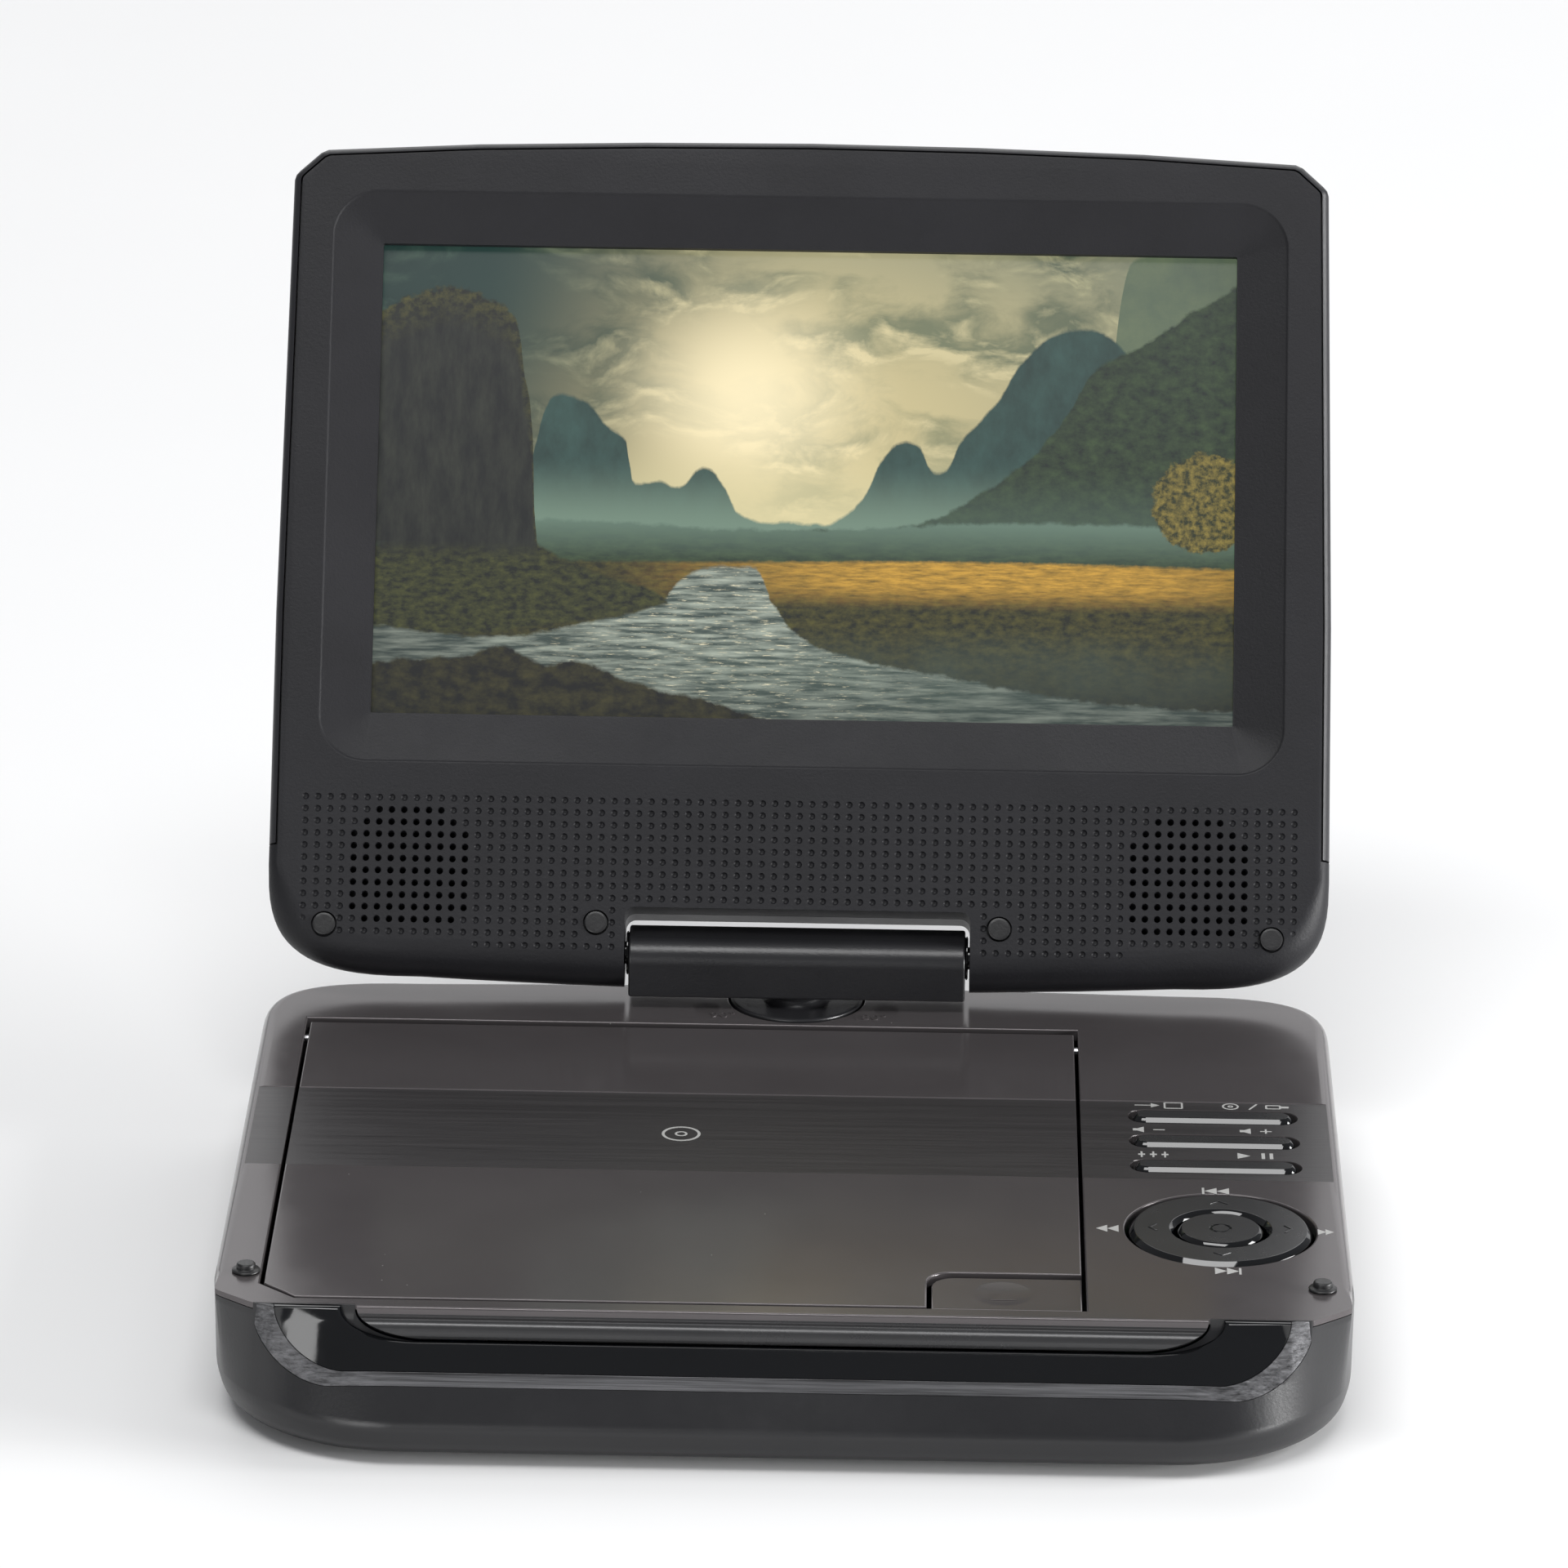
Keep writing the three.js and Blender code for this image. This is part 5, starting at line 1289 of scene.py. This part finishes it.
def hills(p, picture):
    """Hazy peaks to the left and right of the valley, and the wooded slope on the right."""
    left = [
        (0, 0.5), (0.17, 0.52), (0.205, 0.685), (0.235, 0.675), (0.262, 0.63), (0.29, 0.585), (0.3, 0.5),
        (0.33, 0.505), (0.35, 0.49), (0.38, 0.535), (0.402, 0.5), (0.43, 0.43), (0.5, 0.42), (0.6, 0.4),
        (1, 0.4),
    ]
    cliff = [(0, 0), (0.8, 0.4), (0.858, 0.8), (0.868, 0.93), (0.885, 1.0), (1, 1.0)]
    right = [
        (0, 0.3), (0.5, 0.4), (0.56, 0.46), (0.59, 0.56), (0.613, 0.597), (0.632, 0.585), (0.652, 0.53),
        (0.68, 0.6), (0.72, 0.68), (0.755, 0.78), (0.79, 0.832), (0.83, 0.842), (0.86, 0.815), (0.9, 0.7),
        (1, 0.5),
    ]
    near = [
        (0, 0.3), (0.5, 0.405), (0.6, 0.41), (0.66, 0.44), (0.7, 0.485), (0.755, 0.555), (0.8, 0.65),
        (0.845, 0.77), (0.88, 0.8), (0.93, 0.86), (1, 0.94),
    ]
    mist = p.remap(p.v, 0.4, 0.56, 1.0, 0.0, smooth=True)
    far_tone = p.mix(mist, p.texture("5d6a55", "75805f", 9.0), rgb("93a288"))
    picture = p.mix(p.hill(cliff, 0.05, 6.0), picture, p.mix(0.35, far_tone, rgb("2f4a40")))
    tone = p.mix(mist, p.texture("203833", "32504a", 14.0, (1.0, 0.6, 1.0)), rgb("6f8776"))
    picture = p.mix(p.hill(left, 0.022, 22.0), picture, tone)
    picture = p.mix(p.hill(right, 0.02, 20.0), picture, tone)
    wood = p.texture("101f18", "35482b", 34.0, (1.0, 1.3, 1.0))
    wood = p.mix(p.times(mist, 0.55), wood, rgb("4c6153"))
    return p.mix(p.hill(near, 0.03, 30.0), picture, wood)


def valley(p, picture):
    """The misty plain, the gold field, the river and its dark banks."""
    plain = p.texture("1d2f22", "3c4f33", 40.0, (0.5, 1.6, 1.0))
    plain = p.mix(p.remap(p.v, 0.34, 0.42), plain, rgb("5f7768"))
    plain_edge = [(0, 0.425), (0.2, 0.42), (0.5, 0.405), (0.7, 0.425), (1, 0.42)]
    picture = p.mix(p.hill(plain_edge, 0.03, 26.0), picture, plain)
    glade = p.texture("6d571c", "c99a38", 60.0, (0.35, 2.2, 1.0), 0.3, 0.62)
    scrub = p.texture("12180c", "54501f", 38.0, (1.0, 1.6, 1.0), 0.38, 0.7)
    sunlit = p.times(p.remap(p.v, 0.235, 0.3, smooth=True), p.blob(0.72, 0.3, 0.3, 0.2, 0.6))
    field = p.mix(sunlit, scrub, glade)
    shaded = p.texture("0a0f0b", "2b2c16", 40.0, (1.0, 1.5, 1.0))
    field = p.mix(p.remap(p.v, 0.06, 0.2, 1.0, 0.0), field, shaded)
    field_edge = [(0, 0.33), (0.4, 0.335), (0.7, 0.342), (1, 0.335)]
    picture = p.mix(p.hill(field_edge, 0.012, 60.0), picture, field)

    ripple = p.noise(p.scaled(p.flat, (0.35, 3.4, 1.0)), 26.0, 7.0, 0.6)
    water = p.mix(p.remap(ripple, 0.4, 0.66), rgb("3d4b46"), rgb("a9b2a4"))
    water = p.mix(p.blob(0.41, 0.22, 0.26, 0.16, 0.8), p.mix(0.62, water, rgb("232e2a")), water)
    glitter = p.noise(p.scaled(p.flat, (0.5, 4.0, 1.0)), 60.0, 5.0, 0.7)
    sparkle = p.times(p.remap(glitter, 0.57, 0.68), p.blob(0.43, 0.18, 0.2, 0.18, 0.7))
    water = p.mix(sparkle, water, rgb("f0e6c2"))
    right_bank = [
        (0, 0.33), (0.44, 0.325), (0.463, 0.25), (0.5, 0.175), (0.56, 0.135), (0.68, 0.095), (0.84, 0.05),
        (1, 0.035),
    ]
    left_bank = [
        (0, 0.2), (0.16, 0.17), (0.24, 0.2), (0.33, 0.245), (0.36, 0.3), (0.385, 0.322), (0.43, 0.325),
        (1, 0.33),
    ]
    wet = p.times(p.hill(right_bank, 0.03, 34.0), p.hill(left_bank, 0.02, 34.0))
    picture = p.mix(wet, picture, water)
    drift = p.times(p.blob(0.72, 0.1, 0.3, 0.07, 0.8), p.noise(p.flat, 7.0, 4.0, 0.5))
    return p.mix(p.times(drift, 0.5), picture, rgb("52655a"))


def crag(p, picture):
    """The dark crag on the left with its grassy foot, the tree on the right and the boulders in front."""
    foot = [
        (0, 0.36), (0.15, 0.4), (0.18, 0.375), (0.22, 0.335), (0.27, 0.3), (0.32, 0.275), (0.345, 0.24),
        (0.36, 0.0), (1, 0),
    ]
    shore = [(0, 0.19), (0.1, 0.175), (0.2, 0.195), (0.3, 0.225), (0.345, 0.245), (1, 0.25)]
    grass = p.texture("0d140c", "4a4d22", 44.0, (1.0, 1.7, 1.0), 0.38, 0.72)
    above_shore = p.minus(1.0, p.hill(shore, 0.02, 30.0))
    bank = p.times(p.hill(foot, 0.02, 40.0), above_shore)
    picture = p.mix(bank, picture, grass)
    tower = [
        (0, 0.86), (0.045, 0.9), (0.08, 0.915), (0.12, 0.895), (0.152, 0.86), (0.163, 0.8), (0.167, 0.74),
        (0.178, 0.64), (0.182, 0.5), (0.187, 0.38), (0.2, 0.3), (1, 0.0),
    ]
    rock = p.texture("0a0f0d", "2c2f26", 20.0, (1.7, 0.5, 1.0), 0.38, 0.72)
    moss = p.texture("10160c", "5a5824", 50.0, (1.0, 1.0, 1.0), 0.42, 0.7)
    rim = p.minus(p.curve(tower), p.v)
    rock = p.mix(p.remap(rim, 0.0, 0.09, 0.85, 0.0), rock, moss)
    picture = p.mix(p.times(p.hill(tower, 0.05, 24.0), p.remap(p.v, 0.33, 0.37)), picture, rock)

    leaves = p.texture("232a10", "8a7a35", 70.0, (1.0, 1.0, 1.0), 0.4, 0.66)
    twigs = p.times(p.minus(p.noise(p.flat, 26.0, 5.0, 0.7), 0.5), 1.3)
    crown_edge = p.plus(p.blob(0.965, 0.475, 0.06, 0.105, 0.3), twigs)
    picture = p.mix(p.remap(crown_edge, 0.4, 0.55), picture, leaves)
    front = [
        (0, 0.11), (0.05, 0.12), (0.1, 0.125), (0.15, 0.15), (0.19, 0.115), (0.245, 0.118), (0.29, 0.085),
        (0.34, 0.06), (0.38, 0.045), (0.43, 0.02), (0.47, 0), (1, 0),
    ]
    stones = p.texture("070a07", "3f3c1c", 26.0, (1.0, 1.4, 1.0), 0.4, 0.75)
    return p.mix(p.hill(front, 0.03, 26.0), picture, stones)


def screen():
    p = Painter("screen_picture")
    picture = crag(p, valley(p, hills(p, sky(p))))
    picture = p.mix(p.blob(0.5, 0.5, 0.78, 0.82, 0.35), rgb("0b1210"), picture)
    black = (0.004, 0.004, 0.005)
    material = p.finish(Base_Color=black, Roughness=0.32, Emission_Color=picture, Emission_Strength=1.05)
    glass = pillow(rounded_rect(-81.5, 81.5, 38, 133, 0.8, 4), FACE - 5.4, FACE - 4.7, 0.15, 0.15)
    layer = glass.data.uv_layers.new(name="picture")
    for loop in glass.data.loops:
        x, v, _ = glass.data.vertices[loop.vertex_index].co
        up = (v - WINDOW["low"]) / (WINDOW["high"] - WINDOW["low"])
        layer.data[loop.index].uv = ((x / WINDOW["w"] + 1) / 2, up)
    piece(glass, "picture_glass", "lid", material, LID, replaces=["lcd_glass"])


screen()


# ---------------------------------------------------------------- printed signs and raised figures
def stroke(x0, y0, x1, y1, width=0.34):
    """The outline of a straight line of that width."""
    x, y = Vector((y0 - y1, x1 - x0)).normalized() * width / 2
    return [(x0 - x, y0 - y), (x1 - x, y1 - y), (x1 + x, y1 + y), (x0 + x, y0 + y)]


def wedge(x, y, length, height):
    """A triangle from its upright base at x to its point, to the left of it if the length is negative."""
    points = [(x, y - height / 2), (x + length, y), (x, y + height / 2)]
    return points if length > 0 else points[::-1]


def hoop(x, y, r, width=0.34):
    """The outlines of the two halves of a ring."""
    outer, inner = r + width / 2, r - width / 2
    return [arc(x, y, outer, a, 180, 16) + arc(x, y, inner, a + 180, -180, 16) for a in (0, 180)]


def box_lines(x0, x1, y0, y1):
    return [stroke(x0, y0, x1, y0), stroke(x1, y0, x1, y1), stroke(x1, y1, x0, y1), stroke(x0, y1, x0, y0)]


def horn(x, y):
    """A loudspeaker seen from the side."""
    back, cone = [(x - 1.3, y - 0.5), (x - 0.5, y - 0.5)], [(x + 0.6, y - 1.3), (x + 0.6, y + 1.3)]
    return [back + cone + [(x - 0.5, y + 0.5), (x - 1.3, y + 0.5)]]


def slider(x, y):
    """A short upright track with its knob."""
    return [stroke(x, y - 1.3, x, y + 1.3), stroke(x - 0.6, y, x + 0.6, y, 0.6)]


def printed(name, body, low, outlines):
    """A sign printed on a level face at the height low."""
    parts = [prism(points, low - 0.06, low + 0.015) for points in outlines]
    piece(join(*parts) if len(parts) > 1 else parts[0], name, body, PRINT)


def signs():
    band, row = TOP - BAND_SINK, 5.2
    y = KEY_YS[0] + row
    arrow = [stroke(59.4, y, 62.4, y), wedge(62.2, y, 1.5, 1.9)]
    printed("sign_source", "base", band, box_lines(64.6, 67.6, y - 1.3, y + 1.3) + arrow)
    disc_or = hoop(76, y, 1.3) + hoop(76, y, 0.35, 0.3) + [stroke(79.2, y - 1.3, 80.6, y + 1.3)]
    stick = box_lines(82.2, 84.6, y - 0.75, y + 0.75) + [stroke(84.6, y, 86.1, y, 0.8)]
    printed("sign_media", "base", band, disc_or + stick)
    y = KEY_YS[1] + row
    printed("sign_quieter", "base", band, horn(60.2, y) + [stroke(62.4, y, 64.4, y)])
    plus = [stroke(80.8, y, 82.8, y), stroke(81.8, y - 1, 81.8, y + 1)]
    printed("sign_louder", "base", band, horn(78.6, y) + plus)
    y = KEY_YS[2] + row
    printed("sign_setup", "base", band, slider(60.2, y) + slider(62.2, y + 0.01) + slider(64.2, y))
    pause = [stroke(x, y - 1.3, x, y + 1.3, 0.6) for x in (81, 82.4)]
    printed("sign_play", "base", band, [wedge(76.6, y, 2.2, 2.6), *pause])
    back = [
        stroke(70.3, -29.9, 70.3, -27.1, 0.4), wedge(72.6, -28.5, -2.1, 2.8), wedge(74.7, -28.5, -2.1, 2.8),
    ]
    printed("sign_last", "base", TOP, back)
    on = [wedge(71.4, -63.9, 2.0, 2.8), wedge(73.4, -63.9, 2.0, 2.8), stroke(75.6, -65.3, 75.6, -62.5, 0.4)]
    printed("sign_next", "base", TOP, on)
    printed("sign_rewind", "base", TOP, [wedge(53.8, -46, -1.9, 3.0), wedge(55.7, -46, -1.9, 3.0)])
    printed("sign_forward", "base", TOP, [wedge(89.1, -46, 1.4, 2.4), wedge(90.4, -46, 1.4, 2.4)])
    printed("sign_disc", "cover", band, hoop(-18.8, -6, 3.1, 0.5) + hoop(-18.8, -6, 0.9, 0.4))


def swivel_marks():
    """Raised figures in the plate beside the swivel, for a quarter turn and a half turn."""
    for text, x in (("90\u00b0", -13.0), ("180\u00b0", 13.0)):
        curve = bpy.data.curves.new("figures", "FONT")
        curve.body, curve.size, curve.extrude, curve.align_x = text, 3.4, 0.12, "CENTER"
        letters = bpy.data.objects.new("figures", curve)
        bpy.context.scene.collection.objects.link(letters)
        bpy.context.view_layer.update()
        solid = raw([], [])
        solid.data = bpy.data.meshes.new_from_object(letters)
        bpy.data.objects.remove(letters)
        solid.data.materials.clear()
        solid.data.transform(Matrix.Translation((x, 50, TOP)))
        piece(solid, f"swivel_mark_{'left' if x < 0 else 'right'}", "base", PLATE)


signs()
swivel_marks()


# ---------------------------------------------------------------- disc bay and drive
DISC = dict(x=-18.0, y=-18.0, r=61.5, floor=TOP - 7.6)
LENS_Y = DISC["y"] - 24
RIM = TOP - 2.5
GUIDE_Z = TOP - 14.2  # height of the guide rods and the lead screw
SCREW_X = DISC["x"] + 15.2
FINGER_DIPS = ((25, 25), (-61, -61))
DECK_SCREWS = [(-79, 33), (44, 33), (-76, -74), (14, -77)]


def deck_tray():
    """The moulded floor of the bay: a disc pocket with finger dips, a spindle hole and the laser's slot."""
    x, y, floor = DISC["x"], DISC["y"], DISC["floor"]
    outline = [(-80, -81), (49, -81), (49, 38.5), (-85.4, 38.5), (-85.4, -76.4)]
    walls = rod(DISC["r"] + 1.4, "z", (x, y), floor - 1.4, RIM, 160)
    walls = keep(walls, block(-85.4, 49, -81, 48, 0, TOP))
    deck = join(pillow(outline, RIM - 1.4, RIM, 0.25), walls)
    for at in FINGER_DIPS:
        deck = join(deck, rod(10.4, "z", at, floor - 1.4, RIM, 64))
    pocket = flared(circle(x, y, DISC["r"], 160), floor, RIM, 0.5)
    pocket = keep(pocket, block(-84, 47.6, -79.6, FAR, 0, FAR))
    deck = cut(deck, pocket)
    for at in FINGER_DIPS:
        deck = cut(deck, flared(circle(*at, 9, 64), floor, RIM, 0.5))
    ridge = raised(floor, (17.6, -0.2), (18.6, -0.2), (18.5, 0.4), (17.7, 0.4))
    deck = join(deck, ring_solid(ridge, x, y, 96))
    deck = cut(deck, flared(circle(x, y, 16.6, 96), 0, floor, 0.4))
    deck = cut(deck, flared(rounded_rect(x - 9, x + 9, -79.2, -14, 2), 0, floor, 0.4))
    sink = raised(RIM, (0, -1.5), (1.4, -1.5), (2.5, 0.01), (2.5, 1), (0, 1))
    for at in DECK_SCREWS:
        deck = cut(deck, turned(sink, *at, 32))
    hinge_room = block(-FAR, FAR, 41.8, FAR, TOP - 4.4, TOP)
    button_room = (block(22.9, 60, -90, -65.8, 0, TOP), block(32, 40, -70, -63.4, 0, TOP))
    deck = cut(deck, hinge_room, *button_room)
    piece(deck, "deck_tray", "base", INNER, replaces=["disc_deck"], smooth_angle=30)
    for i, at in enumerate(DECK_SCREWS):
        head = turned(raised(RIM, (0, -1.3), (1.2, -1.3), (2.3, -0.1), (2.1, 0), (0, 0)), *at, 32)
        slot = prism(rounded_rect(-1.2, 1.2, -0.22, 0.22, 0.1, 2), RIM - 0.7, RIM + 1)
        head = cut(head, *crossed(slot, *at, 31 * i))
        piece(head, f"deck_screw_{i + 1}", "base", STEEL)


def spindle_hub():
    """The turntable with its rubber seat, three clamp balls and steel cap."""
    x, y, low, seat = DISC["x"], DISC["y"], TOP - 9, DISC["floor"] + 2
    profile = [
        (0, low + 1), (1.6, low + 1), (1.6, low), (6, low), (6, seat - 1.6), (14.4, seat - 1.6),
        (14.6, seat - 1.4), (14.6, seat - 0.2), (14.4, seat), (7.4, seat), (7.25, seat + 1.4),
        (6.9, seat + 1.9), (5.8, seat + 2.3),
    ]
    table = turned(profile + [(0, seat + 2.3)], x, y, 96)
    piece(table, "disc_turntable", "disc_hub", INNER, replaces=["turntable"])
    rubber = raised(seat, (11, -0.1), (14, -0.1), (14, 0.12), (13.8, 0.2), (11.2, 0.2), (11, 0.12))
    piece(ring_solid(rubber, x, y, 96), "turntable_rubber", "disc_hub", RUBBER)
    bends = [math.pi * k / 10 for k in range(11)]
    for i in range(3):
        a = math.tau * i / 3
        half_round = [(0.8 * math.sin(t), seat + 1.1 - 0.8 * math.cos(t)) for t in bends]
        ball = turned(half_round, x + 6.9 * math.cos(a), y + 6.9 * math.sin(a), 20)
        piece(ball, f"clamp_ball_{i + 1}", "disc_hub", STEEL, smooth_angle=60)
    cap = raised(seat, (0, 2.2), (4.4, 2.2), (4.4, 2.4), (4.2, 2.5), (1.2, 2.5), (0.9, 2.32))
    piece(turned(cap + [(0, seat + 2.32)], x, y, 48), "turntable_cap", "disc_hub", STEEL)


def laser_sled():
    """The pickup on its two guide rods, with the lens between its focus coils."""
    x, y, z = DISC["x"], LENS_Y, TOP - 16
    body = pillow(rounded_rect(x - 13, x + 13, y - 6, y + 9, 1.2), z, TOP - 12.4, 0.4, 0.3)
    body = join(body, pillow(rounded_rect(x - 7, x + 7, y - 5.5, y + 6, 1), TOP - 12.8, TOP - 9.6, 0.4))
    for side in (-1, 1):
        rod_x = x + 21 * side
        ends = sorted((x, rod_x + 2.6 * side))
        body = join(body, pillow(rounded_rect(*ends, y - 5, y + 3, 0.8), z, TOP - 12.4, 0.3, 0.3))
        body = cut(body, rod(1.5, "y", (rod_x, GUIDE_Z), y - 9, y + 9))
    screw_bore = rod(1.5, "y", (SCREW_X, GUIDE_Z), y - 12, y + 12)
    body = cut(body, screw_bore, rod(3.4, "z", (x, y), TOP - 10.1, TOP))
    piece(body, "laser_body", "pickup", INNER, replaces=["laser_pickup"], smooth_angle=30)
    glass = raised(TOP, (0, -10.1), (3.2, -10.1), (3.2, -8.8), (2.9, -8.55), (2.3, -8.5))
    dome = [math.pi / 2 * k / 8 for k in range(9)]
    glass += [(2.2 * math.cos(a), TOP - 8.5 + 0.5 * math.sin(a)) for a in dome]
    lens = turned(glass, x, y, 48)
    piece(lens, "laser_lens", "pickup", LENS, replaces=["pickup_lens"], smooth_angle=40)
    for side, name in ((-1, "left"), (1, "right")):
        ends = sorted((x + 3.9 * side, x + 6.2 * side))
        coil = pillow(rounded_rect(*ends, y - 3, y + 3, 0.9), TOP - 9.8, TOP - 8.9, 0.25)
        piece(coil, f"focus_coil_{name}", "pickup", BRASS, smooth_angle=40)


def screw_thread():
    """The lead screw, with one thread wound along it."""
    y0, y1, sides = -85.0, -31.0, 14
    rings = []
    steps = int((y1 - y0) * 4)
    for k in range(steps + 1):
        turn = math.tau * k / 8
        ring = []
        for i in range(sides):
            a = math.tau * i / sides
            r = 0.85 + 0.3 * max(0.0, math.cos(a - turn)) ** 2
            ring.append((r * math.cos(a), r * math.sin(a), lerp(y0, y1, k / steps)))
        rings.append(ring)
    screw = loft(rings)
    screw.data.transform(Matrix(((1, 0, 0, SCREW_X), (0, 0, 1, 0), (0, -1, 0, GUIDE_Z), (0, 0, 0, 1))))
    piece(screw, "lead_thread", "screw", BRASS, replaces=["lead_screw"], smooth_angle=50)


# ---------------------------------------------------------------- sockets and switch in the right side
def sockets():
    dc = ("dc", 38, (4.5, 3.6, 4.2), 2.9, 2.45)
    phones = ("phones", 18, (3.6, 3.6, 3.2), 1.95, 1.6)
    for name, y, (half, low, high), r, bore in (dc, phones):
        outline = rounded_rect(79.5, 91.4, y - half, y + half, 0.4, 3)
        body = pillow(outline, PORT_Z - low, PORT_Z + high, 0.3, 0.3)
        body = join(body, rod(r, "x", (y, PORT_Z), 91, 93.8, 48, 0.15))
        body = cut(body, rod(bore, "x", (y, PORT_Z), 82, FAR, 48))
        piece(body, f"{name}_socket", "base", INNER, replaces=[f"{name}_jack"], smooth_angle=30)
    piece(rod(0.9, "x", (38, PORT_Z), 81.8, 92.6, 24, 0.3), "dc_pin", "base", STEEL)
    y = -22
    shell = pillow(rounded_rect(-6.8, 6.8, -3.1, 3.1, 0.6, 4), 79, 93.6, 0.1, 0.1)
    shell = cut(shell, prism(rounded_rect(-6.35, 6.35, -2.65, 2.65, 0.4, 4), 80.5, FAR))
    tongue = pillow(rounded_rect(-5.6, 5.6, 0.9, 2.4, 0.2, 3), 80, 91.5, 0.3)
    lay_along_x(shell, y, PORT_Z)
    lay_along_x(tongue, y, PORT_Z)
    piece(shell, "usb_shell", "base", STEEL, replaces=["usb_port"], smooth_angle=30)
    piece(tongue, "usb_tongue", "base", INNER)


def power_knob():
    """The slide switch, with grip ribs across its knob."""
    y = -48.0
    knob = pillow(rounded_rect(-2.8, 2.8, -2.6, 2.6, 0.4, 3), 89.7, 91.6, 0.2)
    knob = join(knob, pillow(rounded_rect(-2.2, 2.2, -1.4, 1.4, 0.3, 3), 90.9, 93.8, 0.15))
    for i in range(5):
        rib = 0.8 * (i - 2)
        knob = join(knob, pillow(rounded_rect(rib - 0.2, rib + 0.2, -1.3, 1.3, 0.1, 2), 93.2, 94.25, 0.12))
    lay_along_x(knob, y, PORT_Z)
    piece(knob, "power_knob", "power", INNER, replaces=["power_switch"], smooth_angle=30)


deck_tray()
spindle_hub()
laser_sled()
screw_thread()
sockets()
power_knob()


# ---------------------------------------------------------------- the frame's own parts
def dress():
    """Finishes the CAD nodes that are shown as they are."""
    looks = {
        "plate": PLATE, "shell": SHELL, "strip": STRIP, "gloss": GLOSS, "bezel": BEZEL, "lid": LID_SKIN,
        "hinge": HINGE, "key": KEYS, "rubber": RUBBER, "steel": STEEL, "inner": INNER, "board": BOARD,
        "battery": FILM, "lens": LENS, "glass": GLOSS, "screen": GLOSS, "brass": BRASS,
    }
    slots = {part["node"]: part["material_slot"] for part in frame["record"]["subparts"]}
    for name, obj in frame["nodes"].items():
        look = PAPER if name.startswith("speaker") else looks[slots[name]]
        obj.data.materials.clear()
        obj.data.materials.append(look)


dress()
